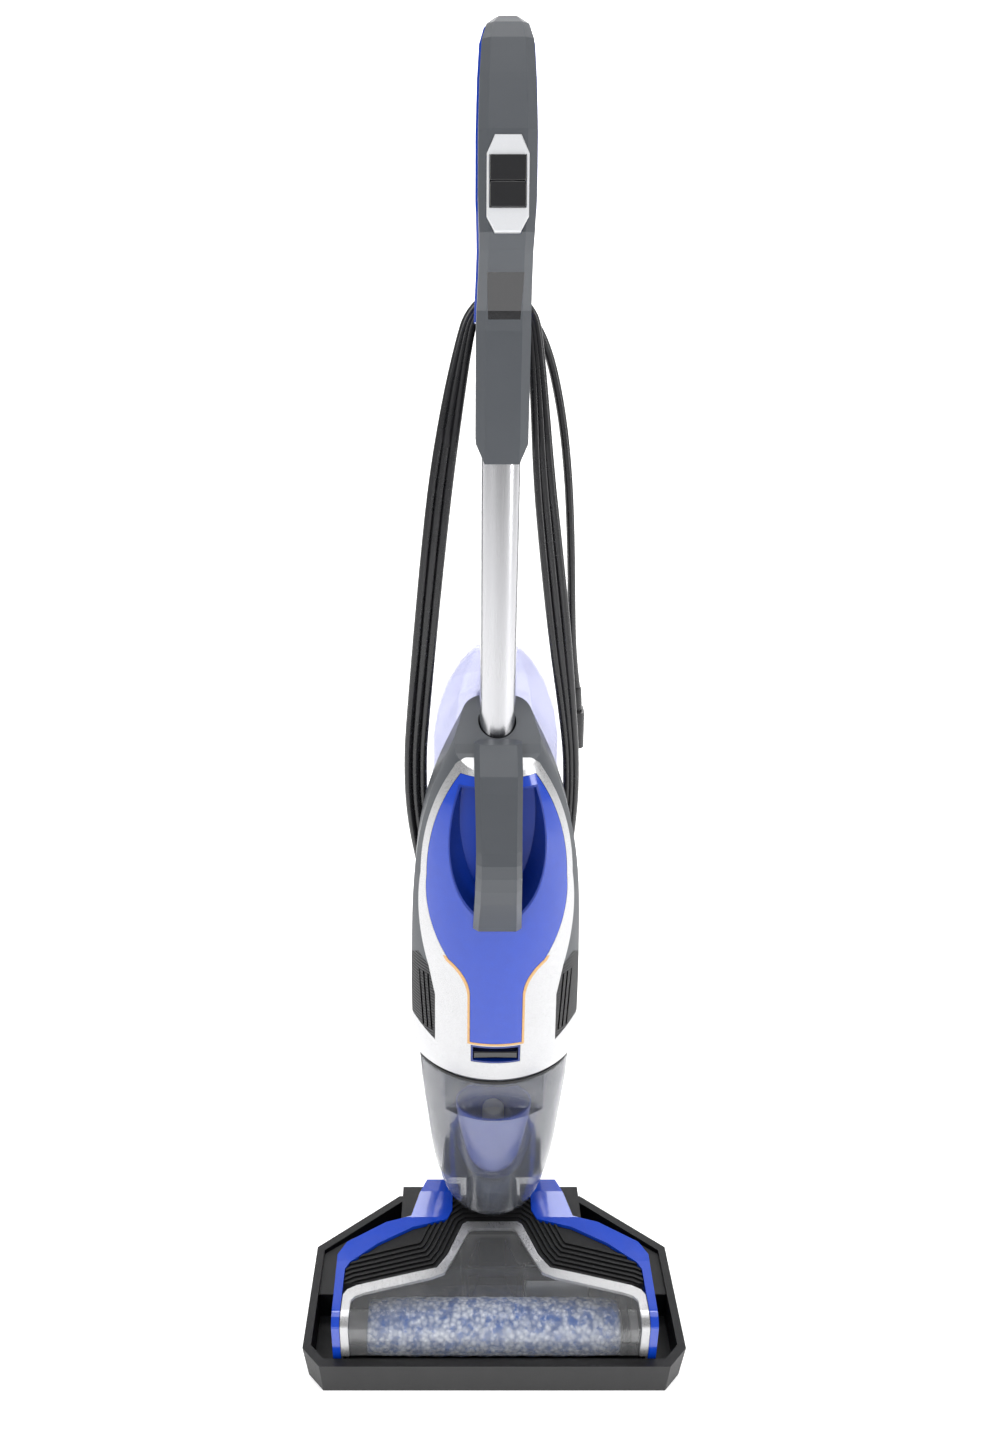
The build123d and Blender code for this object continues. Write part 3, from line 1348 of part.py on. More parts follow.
with BuildPart() as cord_plug:
    with Locations((plug_x, plug_y, plug_z)):
        Cone(6.5, cord_diameter / 2 + 1, 22, align=(Align.CENTER, Align.CENTER, Align.MAX))
    with BuildSketch(Plane.XY.offset(plug_z - 22)):
        with Locations((plug_x, plug_y)):
            RectangleRounded(16, 24, 5)
    extrude(amount=-36, taper=-1)
    with Locations((plug_x, plug_y - 6, plug_z - 58), (plug_x, plug_y + 6, plug_z - 58)):
        Cylinder(2.4, 13, align=(Align.CENTER, Align.CENTER, Align.MAX))
cord_plug.part.label = "cord_plug"
export_step(cord_plug.part, "parts/cord_plug.step")

# ---------------------------------------------------------------- clean water tank
clean_base = body_base + 126.0
clean_height = 272.0


def clean_sections(inset=0.0):
    """Sections of the clean tank: flat front face, sides and back in facets."""
    table = [(0, 38, 32), (40, 49, 38), (82, 54, 43), (140, 60, 47), (185, 60, 48),
             (210, 56, 46), (236, 47, 40), (258, 34, 32), (272, 22, 26)]
    sections = []
    for rise, half, deep in table:
        w = half - inset
        z = clean_base + rise * clean_height / 272.0
        if rise == 0:
            z += inset
        if rise == 272:
            z -= inset
        front = clean_tank_front + inset
        back = clean_tank_front + deep - inset
        middle = back - front
        corner = [(w, front), (w, front + 0.35 * middle), (0.62 * w, front + 0.85 * middle), (0.3 * w, back)]
        sections.append(plate(mirrored(corner), Plane.XY.offset(z)))
    return sections


cap_z = clean_base + 200.0
cap_face = clean_tank_front + 54.0
with BuildPart() as clean_space:
    loft(sections=clean_sections(inset=clean_tank_wall), ruled=True)
with BuildPart() as clean_tank:
    loft(sections=clean_sections(), ruled=True)
    with BuildSketch(Plane.XZ.offset(-clean_tank_front - 20)):
        with Locations((0, cap_z)):
            Circle(14)
    extrude(amount=clean_tank_front + 20 - cap_face)
    add(clean_space.part, mode=Mode.SUBTRACT)
    with BuildSketch(Plane.XZ.offset(-clean_tank_front - 20)):
        with Locations((0, cap_z)):
            Circle(11.5)
    extrude(amount=-60, mode=Mode.SUBTRACT)
clean_tank.part.label = "clean_tank"
export_step(clean_tank.part, "parts/clean_tank.step")

with BuildPart() as clean_cap:
    with BuildSketch(Plane.XZ.offset(-cap_face + 5)):
        with Locations((0, cap_z)):
            Circle(18)
    extrude(amount=-8)
    with BuildSketch(Plane.XZ.offset(-cap_face + 5)):
        with Locations((0, cap_z)):
            Circle(14 + run_gap)
    extrude(amount=-5 - run_gap, mode=Mode.SUBTRACT)
clean_cap.part.label = "clean_cap"
export_step(clean_cap.part, "parts/clean_cap.step")
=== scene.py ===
"""Finishes for the upright floor washer: moulded plastics, clear tanks, brush nap, mains cord and studio."""
import math

import bmesh
import bpy
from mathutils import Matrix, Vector, noise


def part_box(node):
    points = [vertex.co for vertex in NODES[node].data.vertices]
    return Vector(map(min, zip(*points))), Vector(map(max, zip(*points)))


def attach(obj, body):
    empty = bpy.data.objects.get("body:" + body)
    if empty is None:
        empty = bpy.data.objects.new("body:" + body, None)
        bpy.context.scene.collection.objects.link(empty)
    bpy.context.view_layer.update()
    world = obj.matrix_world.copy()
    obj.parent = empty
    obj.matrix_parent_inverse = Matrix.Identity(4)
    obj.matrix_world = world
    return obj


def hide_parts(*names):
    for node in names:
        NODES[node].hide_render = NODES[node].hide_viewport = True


bl_info = {
    "name": "Floor Washer Finishes",
    "version": (1, 0, 0),
    "blender": (4, 5, 0),
    "location": "View3D > Sidebar > Washer",
    "description": "Materials, cord, brush nap and studio for the floor washer",
    "category": "Object",
}

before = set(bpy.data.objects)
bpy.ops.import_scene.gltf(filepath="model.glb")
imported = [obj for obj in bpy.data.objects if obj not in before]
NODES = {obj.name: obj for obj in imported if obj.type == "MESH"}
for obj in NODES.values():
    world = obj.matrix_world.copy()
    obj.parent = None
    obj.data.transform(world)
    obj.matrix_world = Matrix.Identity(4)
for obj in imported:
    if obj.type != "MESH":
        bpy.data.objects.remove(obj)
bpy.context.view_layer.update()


# ---------------------------------------------------------------- shader maths
class Socket:
    """A shader socket or a number that Python's operators can be used on."""

    def __init__(self, shader, value):
        self.shader = shader
        self.value = value

    def _math(self, operation, other=0.0, swapped=False):
        inputs = [other, self] if swapped else [self, other]
        return self.shader.node("ShaderNodeMath", {"operation": operation}, dict(enumerate(inputs)))

    def __add__(self, other):
        return self._math("ADD", other)

    __radd__ = __add__

    def __mul__(self, other):
        return self._math("MULTIPLY", other)

    __rmul__ = __mul__

    def __sub__(self, other):
        return self._math("SUBTRACT", other)

    def __rsub__(self, other):
        return self._math("SUBTRACT", other, swapped=True)

    def __truediv__(self, other):
        return self._math("DIVIDE", other)

    def __pow__(self, other):
        return self._math("POWER", other)

    def sine(self):
        return self._math("SINE")


class Shader:
    """One material's node tree, built from its Principled shader back."""

    def __init__(self, name):
        self.material = bpy.data.materials.new(name)
        self.material.use_nodes = True
        self.tree = self.material.node_tree
        self.tree.nodes.clear()
        output = self.tree.nodes.new("ShaderNodeOutputMaterial")
        self.principled = self.tree.nodes.new("ShaderNodeBsdfPrincipled")
        self.tree.links.new(self.principled.outputs[0], output.inputs["Surface"])

    def _feed(self, target, value):
        if isinstance(value, Socket):
            value = value.value
        if isinstance(value, bpy.types.NodeSocket):
            self.tree.links.new(value, target)
        elif hasattr(value, "__len__") and len(value) == 3 and target.type == "RGBA":
            target.default_value = (*value, 1.0)
        else:
            target.default_value = value

    def node(self, kind, settings=None, inputs=None, output=0):
        """Adds a node: its settings first, then the values or links of its sockets."""
        made = self.tree.nodes.new(kind)
        for key, value in (settings or {}).items():
            if key == "stops":
                ramp = made.color_ramp
                while len(ramp.elements) < len(value):
                    ramp.elements.new(0.5)
                for element, (place, colour) in zip(ramp.elements, value):
                    element.position = place
                    element.color = (*colour, 1.0)
            else:
                setattr(made, key, value)
        for key, value in (inputs or {}).items():
            self._feed(made.inputs[key], value)
        return Socket(self, made.outputs[output])

    def place(self):
        """Position on the object in metres."""
        return self.node("ShaderNodeTexCoord", output="Object")

    def stretched(self, scale):
        """Position with each axis scaled by itself."""
        return self.node("ShaderNodeMapping", None, {"Vector": self.place(), "Scale": scale})

    def axis(self, letter):
        return self.node("ShaderNodeSeparateXYZ", None, {0: self.place()}, output=letter)

    def speckle(self, scale, detail=3.0, roughness=0.55, vector=None):
        """Even noise between 0 and 1."""
        inputs = {"Vector": vector or self.place(), "Scale": scale, "Detail": detail, "Roughness": roughness}
        return self.node("ShaderNodeTexNoise", None, inputs, output="Fac")

    def cells(self, scale, feature="F1", vector=None, output="Distance"):
        inputs = {"Vector": vector or self.place(), "Scale": scale}
        return self.node("ShaderNodeTexVoronoi", {"feature": feature}, inputs, output=output)

    def blend(self, factor, low, high):
        """Colour between low and high."""
        made = self.tree.nodes.new("ShaderNodeMix")
        made.data_type = "RGBA"
        self._feed(made.inputs["Factor"], factor)
        self._feed(made.inputs["A"], low)
        self._feed(made.inputs["B"], high)
        return Socket(self, made.outputs["Result"])

    def bump(self, height, depth, strength=1.0):
        return self.node("ShaderNodeBump", None, {"Height": height, "Distance": depth, "Strength": strength},
                         output="Normal")

    def finish(self, **sockets):
        for name, value in sockets.items():
            self._feed(self.principled.inputs[name.replace("_", " ")], value)
        return self.material


def tone(colour, factor):
    return tuple(min(1.0, max(0.0, part * factor)) for part in colour)


def moulded_plastic(name, colour, roughness=0.42, grain=0.00012, grain_scale=2600.0, coat=0.0):
    """Injection moulded plastic: fine spark-eroded grain, soft handling marks."""
    shader = Shader(name)
    patch = shader.speckle(14.0, 4.0)
    fine = shader.speckle(grain_scale, 2.0, 0.6)
    scuff = shader.speckle(60.0, 6.0, 0.7, shader.stretched((1.0, 1.0, 0.25)))
    return shader.finish(
        Base_Color=shader.blend(patch * 0.6 + fine * 0.4, tone(colour, 0.88), tone(colour, 1.12)),
        Roughness=patch * 0.08 + fine * 0.08 + scuff * 0.06 + (roughness - 0.11),
        Normal=shader.bump(fine, grain, 0.6),
        Coat_Weight=coat,
        Coat_Roughness=0.12,
        Specular_IOR_Level=0.4,
    )


def polished_plastic(name, colour, depth_colour, roughness=0.16):
    """High gloss plastic: deep colour under a clear coat with a faint ripple."""
    shader = Shader(name)
    ripple = shader.speckle(90.0, 2.0, 0.5)
    flake = shader.cells(1900.0)
    wear = shader.speckle(35.0, 7.0, 0.7)
    return shader.finish(
        Base_Color=shader.blend(flake * 0.5 + ripple * 0.4, depth_colour, colour),
        Roughness=wear * 0.1 + (roughness - 0.04),
        Coat_Weight=0.8,
        Coat_Roughness=0.05,
        Normal=shader.bump(ripple, 0.0003, 0.25),
    )


def metallic_paint(name, colour, roughness=0.3):
    """Sprayed metallic paint with small bright flakes."""
    shader = Shader(name)
    flake = shader.cells(2600.0, output="Color")
    spark = shader.node("ShaderNodeSeparateColor", None, {0: flake})
    cloud = shader.speckle(22.0, 3.0)
    return shader.finish(
        Base_Color=shader.blend(spark * 0.7 + cloud * 0.3, tone(colour, 0.82), tone(colour, 1.16)),
        Roughness=cloud * 0.08 + spark * 0.1 + (roughness - 0.08),
        Metallic=0.85,
        Coat_Weight=0.35,
        Coat_Roughness=0.1,
        Normal=shader.bump(spark, 0.00004, 0.4),
    )


def drawn_metal(name, colour, roughness=0.26, along=(260.0, 260.0, 3.0)):
    """Drawn or turned metal: fine lines along one direction."""
    shader = Shader(name)
    lines = shader.speckle(6.0, 8.0, 0.7, shader.stretched(along))
    haze = shader.speckle(12.0, 4.0)
    return shader.finish(
        Base_Color=shader.blend(lines * 0.7 + haze * 0.3, tone(colour, 0.82), tone(colour, 1.1)),
        Roughness=lines * 0.14 + haze * 0.06 + (roughness - 0.1),
        Metallic=1.0,
        Normal=shader.bump(lines, 0.00006, 0.35),
    )


def clear_plastic(name, colour, rim_shade_colour, roughness=0.05, haze_amount=0.06, alpha=0.42, rim_alpha=0.85):
    """Clear moulded plastic with painted shade along its rims: darker and more opaque where the surface turns
    away from the view.
    """
    shader = Shader(name)
    smear = shader.speckle(26.0, 5.0, 0.65)
    # painted shade: the rim mask darkens the colour towards the edge colour and raises the alpha where the
    # surface turns away from the view
    rim = shader.node("ShaderNodeLayerWeight", None, {"Blend": 0.25}, output="Facing")
    edges = rim ** 1.6
    return shader.finish(
        Base_Color=shader.blend(edges, colour, rim_shade_colour),
        Roughness=smear * haze_amount + roughness,
        Alpha=edges * (rim_alpha - alpha) + smear * 0.04 + alpha,
        Transmission_Weight=0.6,
        IOR=1.46,
        Coat_Weight=0.6,
        Coat_Roughness=0.04,
        Normal=shader.bump(smear, 0.0002, 0.2),
    )


def black_rubber(name, colour, roughness=0.7):
    """Soft rubber with a dull, dusty surface."""
    shader = Shader(name)
    dust = shader.speckle(48.0, 6.0, 0.7)
    pores = shader.cells(1500.0)
    return shader.finish(
        Base_Color=shader.blend(dust, tone(colour, 0.75), tone(colour, 1.7)),
        Roughness=dust * 0.14 + (roughness - 0.07),
        Normal=shader.bump(pores + dust * 0.5, 0.00015, 0.5),
    )


def ribbed_plastic(name, colour, pitch=0.0032):
    """Dark plastic with fine ribs that run across the part, with painted shade in the rib grooves and a
    painted highlight on the crests.
    """
    shader = Shader(name)
    rib = (shader.axis("Z") / pitch * (2 * math.pi)).sine()
    fine = shader.speckle(2200.0, 2.0)
    # painted shade and highlight: the colour follows the ribs, darker in the grooves and lighter on the
    # crests
    return shader.finish(
        Base_Color=shader.blend(rib * 0.5 + 0.5, tone(colour, 0.6), tone(colour, 1.35)),
        Roughness=fine * 0.12 + 0.42,
        Normal=shader.bump(rib * 0.8 + fine * 0.2, 0.0004, 0.7),
    )


def nap_fibre(name, pale, tint):
    """Microfibre nap: white tufts with blue ones among them, with painted shade in the gaps between them."""
    shader = Shader(name)
    tuft = shader.cells(210.0)
    patch = shader.speckle(95.0, 4.0, 0.65)
    hair = shader.speckle(1100.0, 4.0, 0.7)
    soil = shader.speckle(14.0, 3.0)
    fleece = shader.blend((patch - 0.47) * 7.0 + (hair - 0.5) * 0.6, pale, tint)
    worn = shader.blend((soil - 0.55) * 2.0, fleece, tone(tint, 0.7))
    return shader.finish(
        # painted shade: the distance from each tuft's centre darkens the colour towards deep blue in the gaps
        # between tufts
        Base_Color=shader.blend(tuft * 1.1 + hair * 0.25 - 0.18, worn, tone(tint, 0.55)),
        Roughness=0.92,
        Sheen_Weight=0.25,
        Sheen_Roughness=0.5,
        Normal=shader.bump(tuft * -0.6 + hair * 0.4, 0.0014, 0.9),
    )


def cord_vinyl(name, colour):
    """Smooth black cord jacket with slight bends and finger marks."""
    shader = Shader(name)
    marks = shader.speckle(70.0, 5.0, 0.6)
    return shader.finish(
        Base_Color=shader.blend(marks, tone(colour, 0.8), tone(colour, 1.5)),
        Roughness=marks * 0.16 + 0.2,
        Coat_Weight=0.35,
        Coat_Roughness=0.2,
        Normal=shader.bump(marks, 0.0002, 0.3),
    )


# ---------------------------------------------------------------- settings
class WasherColours(bpy.types.PropertyGroup):
    """Colours of the machine's finishes."""

    body_gray: bpy.props.FloatVectorProperty(
        name="Body gray", description="Side shells and handles",
        subtype="COLOR", default=(0.088, 0.096, 0.108))
    panel_blue: bpy.props.FloatVectorProperty(
        name="Panel blue", description="Front panel, trims and grip",
        subtype="COLOR", default=(0.001, 0.058, 0.58))
    bezel_silver: bpy.props.FloatVectorProperty(
        name="Bezel silver", description="Band round the front panel",
        subtype="COLOR", default=(0.60, 0.60, 0.61))
    accent_gold: bpy.props.FloatVectorProperty(
        name="Accent gold", description="Thin line inside the bezel",
        subtype="COLOR", default=(0.62, 0.38, 0.17))
    base_black: bpy.props.FloatVectorProperty(
        name="Base black", description="Floor head and tray", subtype="COLOR", default=(0.006, 0.006, 0.0068))
    clean_tint: bpy.props.FloatVectorProperty(
        name="Clean tank tint", description="Violet tint of the clean tank", subtype="COLOR",
        default=(0.50, 0.52, 0.90))
    dirty_tint: bpy.props.FloatVectorProperty(
        name="Dirty tank tint", description="Smoky tint of the dirty tank", subtype="COLOR",
        default=(0.34, 0.36, 0.42))


class WasherSizes(bpy.types.PropertyGroup):
    """Sizes of the pieces made here."""

    cord_diameter: bpy.props.FloatProperty(
        name="Cord diameter", description="Outer diameter of the mains cord", default=0.0075, unit="LENGTH")
    cord_turns: bpy.props.IntProperty(
        name="Cord turns", description="Whole turns of the hank before the last half turn", default=4)
    nap_height: bpy.props.FloatProperty(
        name="Nap height", description="How far the nap's tufts vary", default=0.0022, unit="LENGTH")
    screw_radius: bpy.props.FloatProperty(
        name="Screw radius", description="Radius of the handle's screws", default=0.0015, unit="LENGTH")


def colours():
    return bpy.context.scene.washer_colours


def sizes():
    return bpy.context.scene.washer_sizes


def dress(material, *names):
    """Gives CAD nodes one material."""
    for name in names:
        piece = NODES[name]
        piece.data.materials.clear()
        piece.data.materials.append(material)


def new_piece(name, mesh, material, body):
    """Adds a mesh made here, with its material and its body."""
    piece = bpy.data.objects.new(name, mesh)
    bpy.context.scene.collection.objects.link(piece)
    mesh.materials.append(material)
    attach(piece, body)
    return piece


# ---------------------------------------------------------------- operators: finishes
class WASHER_OT_plastics(bpy.types.Operator):
    """Moulded and polished plastics of the body, the handle and the floor head"""
    bl_idname = "washer.plastics"
    bl_label = "Plastics"

    def execute(self, context):
        look = colours()
        gray = tuple(look.body_gray)
        black = tuple(look.base_black)
        blue = tuple(look.panel_blue)
        dress(moulded_plastic("satin_gray", gray, 0.4, coat=0.15), "body_shell", "carry_handle", "trigger",
              "handle_front")
        dress(moulded_plastic("stem_gray", tone(gray, 0.62), 0.42), "stem_back")
        dress(polished_plastic("royal_blue", tone(blue, 1.15), tone(blue, 0.8)), "front_panel", "trim_right",
              "trim_left", "grip_back")
        dress(polished_plastic("deep_blue", tone(blue, 0.5), tone(blue, 0.3), 0.25), "latch_pocket")
        dress(polished_plastic("cup_blue", tone(blue, 1.2), tone(blue, 0.8), 0.3), "tank_cup")
        dress(moulded_plastic("satin_black", black, 0.45), "base_housing", "suction_duct", "neck_yoke",
              "swivel_socket", "spine_shell", "cord_hook", "lower_hook", "tank_lid",
              "tank_inlet", "fan_chamber")
        dress(moulded_plastic("tray_black", tone(black, 1.3), 0.5, grain=0.0002, grain_scale=1500.0),
              "storage_tray")
        dress(moulded_plastic("matte_black", tone(black, 1.2), 0.56), "base_top")
        dress(ribbed_plastic("ribbed_grip", tone(black, 2.6)), "side_grips")
        dress(moulded_plastic("well_blue", tone(blue, 0.55), 0.36), "grip_well")
        dress(moulded_plastic("grille_blue", tone(blue, 0.75), 0.34), "exhaust_grille")
        dress(polished_plastic("panel_white", (0.83, 0.84, 0.86), (0.74, 0.75, 0.78)), "switch_panel")
        dress(polished_plastic("gloss_black", (0.016, 0.016, 0.018), (0.008, 0.008, 0.01), 0.12),
              "elbow_insert", "button_low", "button_high", "tank_latch")
        dress(moulded_plastic("inner_gray", (0.3, 0.3, 0.31)), "brush_core", "motor_fan", "water_pump")
        dress(moulded_plastic("float_white", (0.72, 0.72, 0.7)), "tank_float")
        dress(moulded_plastic("board_green", (0.02, 0.16, 0.07), 0.4), "circuit_board")
        dress(moulded_plastic("cap_black", tone(black, 1.4), 0.35), "clean_cap")
        return {"FINISHED"}


class WASHER_OT_metals(bpy.types.Operator):
    """Tube, pins, motors and the sprayed silver and gold bands"""
    bl_idname = "washer.metals"
    bl_label = "Metals and paints"

    def execute(self, context):
        look = colours()
        dress(drawn_metal("tube_aluminium", (0.62, 0.62, 0.64)), "handle_tube")
        dress(drawn_metal("pin_steel", (0.5, 0.5, 0.52), 0.35, (3.0, 260.0, 260.0)), "axle_pins",
              "motor_pulley")
        dress(drawn_metal("motor_steel", (0.36, 0.37, 0.39), 0.45, (120.0, 120.0, 6.0)), "brush_motor",
              "suction_motor")
        dress(metallic_paint("bezel_silver", tuple(look.bezel_silver)), "bezel", "window_frame")
        dress(metallic_paint("accent_gold", tuple(look.accent_gold)), "accent_line")
        return {"FINISHED"}


class WASHER_OT_clears(bpy.types.Operator):
    """Clear window and the two water tanks"""
    bl_idname = "washer.clears"
    bl_label = "Clear parts"

    def execute(self, context):
        look = colours()
        clean = tuple(look.clean_tint)
        dirty = tuple(look.dirty_tint)
        # the third colour of each clear part is the painted shade along its rims
        dress(clear_plastic("window_clear", (0.9, 0.91, 0.93), (0.32, 0.35, 0.4), 0.03, 0.03, 0.1, 0.55),
              "brush_window")
        dress(clear_plastic("tank_violet", clean, tone(clean, 0.16), alpha=0.34, rim_alpha=0.95),
              "clean_tank")
        dress(clear_plastic("tank_smoke", dirty, tone(dirty, 0.12), 0.06, 0.08, 0.3, 0.9), "dirty_tank")
        return {"FINISHED"}


class WASHER_OT_rubbers(bpy.types.Operator):
    """Wheels, seals, squeegee, belt and filter"""
    bl_idname = "washer.rubbers"
    bl_label = "Rubbers"

    def execute(self, context):
        dress(black_rubber("wheel_rubber", (0.03, 0.03, 0.032)), "wheel_right", "wheel_left", "squeegee",
              "tank_seal", "drive_belt")
        dress(black_rubber("filter_foam", (0.06, 0.06, 0.065), 0.95), "air_filter")
        return {"FINISHED"}


# ---------------------------------------------------------------- operators: pieces
class WASHER_OT_brush_nap(bpy.types.Operator):
    """Microfibre nap: a roll of soft tufts wound in a spiral"""
    bl_idname = "washer.brush_nap"
    bl_label = "Brush nap"

    def execute(self, context):
        low, high = (Vector(corner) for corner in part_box("brush_nap"))
        middle = (low + high) / 2
        radius = (high.z - low.z) / 2
        rows, around = 150, 96
        depth = sizes().nap_height
        mesh = bpy.data.meshes.new("brush_nap_tufts")
        roll = bmesh.new()
        rings = []
        for row in range(rows + 1):
            x = low.x + (high.x - low.x) * row / rows
            rim = min(1.0, 8.0 * min(row, rows - row) / rows)
            ring = []
            for step in range(around):
                angle = 2 * math.pi * step / around
                point = Vector((x * 90.0, 14.0 * math.cos(angle), 14.0 * math.sin(angle)))
                tuft = 0.5 + 0.5 * noise.noise(point * 0.9)
                spiral = 0.5 + 0.5 * math.sin(6 * angle + x * 260.0)
                hollow = depth * (0.15 + 0.55 * (1 - tuft) + 0.3 * (1 - spiral))
                r = radius - hollow - 0.004 * (1 - rim ** 0.4)
                place = (x, middle.y + r * math.cos(angle), middle.z + r * math.sin(angle))
                ring.append(roll.verts.new(place))
            rings.append(ring)
        for first, second in zip(rings, rings[1:]):
            for step in range(around):
                after = (step + 1) % around
                roll.faces.new((first[step], first[after], second[after], second[step]))
        roll.faces.new(rings[0][::-1])
        roll.faces.new(rings[-1])
        bmesh.ops.recalc_face_normals(roll, faces=roll.faces)
        roll.to_mesh(mesh)
        roll.free()
        for face in mesh.polygons:
            face.use_smooth = len(face.vertices) == 4
        fibre = nap_fibre("nap", (0.86, 0.9, 0.97), (0.04, 0.14, 0.5))
        piece = new_piece("brush_nap_tufts", mesh, fibre, "brush")
        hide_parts("brush_nap")
        return {"FINISHED"}


class WASHER_OT_screws(bpy.types.Operator):
    """Small screws in the handle's bevels"""
    bl_idname = "washer.screws"
    bl_label = "Handle screws"

    def execute(self, context):
        low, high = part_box("handle_front")
        radius = sizes().screw_radius
        steel = drawn_metal("screw_steel", (0.3, 0.3, 0.31), 0.4, (300.0, 40.0, 300.0))
        for side in (1, -1):
            profile = [(0.0, -0.0002), (radius * 0.45, -0.0002), (radius * 0.5, 0.0003),
                       (radius * 0.85, 0.0003), (radius, -0.0001), (radius, -0.003), (0.0, -0.003)]
            screw = bmesh.new()
            points = [screw.verts.new((r, 0.0, h)) for r, h in profile]
            edges = [screw.edges.new(pair) for pair in zip(points, points[1:])]
            bmesh.ops.spin(screw, geom=points + edges, angle=2 * math.pi, steps=24, axis=(0, 0, 1),
                           cent=(0, 0, 0))
            bmesh.ops.remove_doubles(screw, verts=screw.verts, dist=1e-6)
            bmesh.ops.recalc_face_normals(screw, faces=screw.faces)
            place = Vector((side * (high[0] - 0.0016), -0.001, low[2] + 0.045))
            turn = Vector((side, 0, 0)).to_track_quat("Z", "Y").to_matrix().to_4x4()
            bmesh.ops.transform(screw, matrix=turn, verts=screw.verts)
            bmesh.ops.translate(screw, vec=place, verts=screw.verts)
            mesh = bpy.data.meshes.new("handle_screw")
            screw.to_mesh(mesh)
            screw.free()
            new_piece(f"handle_screw_{'right' if side > 0 else 'left'}", mesh, steel, "upright")
        return {"FINISHED"}


HOOK_Z = 0.966              # height of the upper hook's axis
LAYER_ROOM = 0.0078         # thickness that one layer of the hank takes up
LAST_TURN_POINTS = 12       # points of the loop that the last, part turn follows
# the loop of the hank: across, below the hook's axis, and how far its lanes spread
LOOP = [
    (-0.0265, 0.612, 0.0070), (-0.0493, 0.563, 0.0072), (-0.0675, 0.486, 0.0072), (-0.0758, 0.428, 0.0072),
    (-0.0760, 0.375, 0.0072), (-0.0732, 0.339, 0.0072), (-0.0652, 0.256, 0.0072), (-0.0565, 0.174, 0.0072),
    (-0.0490, 0.112, 0.0070), (-0.0387, 0.049, 0.0056), (-0.0292, 0.002, 0.0034), (-0.0240, -0.0150, 0.0026),
    (-0.0100, -0.0285, 0.0022), (0.0100, -0.0285, 0.0022),
    (0.0240, -0.0150, 0.0026), (0.0275, 0.002, 0.0030), (0.0325, 0.049, 0.0040), (0.0380, 0.112, 0.0058),
    (0.0460, 0.174, 0.0068), (0.0570, 0.256, 0.0070), (0.0675, 0.334, 0.0046), (0.0722, 0.376, 0.0040),
    (0.0735, 0.428, 0.0040), (0.0670, 0.486, 0.0060), (0.0493, 0.563, 0.0070), (0.0265, 0.612, 0.0070),
    (0.0, 0.6290, 0.0070),
]
# lane of each turn: 1 is the outer side of the loop, and the last number is the layer
LANES = [(-1.0, 0), (0.0, 0), (1.0, 0), (0.9, 1), (0.0, 1)]
TAIL = [(0.022, 0.061, -0.018), (0.040, 0.068, 0.011), (0.053, 0.0705, 0.061), (0.061, 0.071, 0.116),
        (0.066, 0.072, 0.181), (0.069, 0.074, 0.241), (0.0725, 0.0765, 0.286), (0.077, 0.0785, 0.314)]


def hank_route(hook_z, front, layer):
    """Control points of the cord: lead, the hank's turns, and the tail to the plug."""
    count = len(LOOP)
    points = [Vector((0.015, front + 0.008, hook_z - 0.582)), Vector((0.015, front + 0.008, hook_z - 0.594)),
              Vector((0.011, front + 0.007, hook_z - 0.611)),
              Vector((-0.003, front + 0.006, hook_z - 0.6225))]
    steps = sizes().cord_turns * count + LAST_TURN_POINTS
    for step in range(steps):
        turn, place = divmod(step, count)
        x, drop, spread = LOOP[place]
        before, after = LOOP[place - 1], LOOP[(place + 1) % count]
        along = Vector((after[0] - before[0], before[1] - after[1])).normalized()
        outward = Vector((-along.y, along.x))
        lane, depth = LANES[turn]
        following, next_depth = LANES[min(turn + 1, len(LANES) - 1)]
        share = max(0.0, (place - count + 5) / 5.0)
        lane += (following - lane) * share
        depth += (next_depth - depth) * share
        points.append(Vector((x + outward.x * lane * spread, front + 0.0038 + depth * layer,
                              hook_z - drop + outward.y * lane * spread)))
    points += [Vector((x, y, hook_z - drop)) for x, y, drop in TAIL]
    return points


class WASHER_OT_cord(bpy.types.Operator):
    """Mains cord: the lead, a hank over both hooks and the tail that ends in the plug"""
    bl_idname = "washer.cord"
    bl_label = "Mains cord"

    def execute(self, context):
        hank_low, hank_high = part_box("cord_hank")
        diameter = sizes().cord_diameter
        route = hank_route(HOOK_Z, hank_low[1], hank_high[1] - hank_low[1] - LAYER_ROOM)
        curve = bpy.data.curves.new("mains_cord", "CURVE")
        curve.dimensions = "3D"
        curve.bevel_depth = diameter / 2
        curve.bevel_resolution = 5
        curve.use_fill_caps = True
        spline = curve.splines.new("NURBS")
        spline.points.add(len(route) - 1)
        for point, place in zip(spline.points, route):
            point.co = (*place, 1.0)
        spline.order_u = 3
        spline.use_endpoint_u = True
        spline.resolution_u = 8
        cord = bpy.data.objects.new("mains_cord", curve)
        bpy.context.scene.collection.objects.link(cord)
        vinyl = cord_vinyl("cord_vinyl", (0.012, 0.012, 0.014))
        curve.materials.append(vinyl)
        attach(cord, "upright")
        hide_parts("cord_lead", "cord_hank", "cord_tail")
        dress(vinyl, "cord_plug", "cord_relief")
        return {"FINISHED"}


# ---------------------------------------------------------------- operator: stage
# name, place, what it points at, width and height, watts
LIGHTS = [
    ("key_softbox", (-1.9, -2.2, 2.3), (0, 0, 0.6), (1.0, 1.9), 30.0),
    ("side_strip", (2.1, -0.9, 1.3), (0, 0, 0.6), (0.45, 2.0), 17.0),
    ("top_softbox", (0.0, -0.4, 3.2), (0, 0, 0.4), (1.6, 1.6), 17.0),
    ("wall_wash", (0.0, 1.0, 3.4), (0, 3.4, 0.9), (3.6, 1.2), 90.0),
]
WORLD_STRENGTH = 0.34
CAMERA_PLACE = (-0.0307, -0.8217, 0.9964)
CAMERA_PITCH = 22.78        # degrees below level
CAMERA_LENS = 25.35         # mm
CAMERA_SHIFT = 0.0257


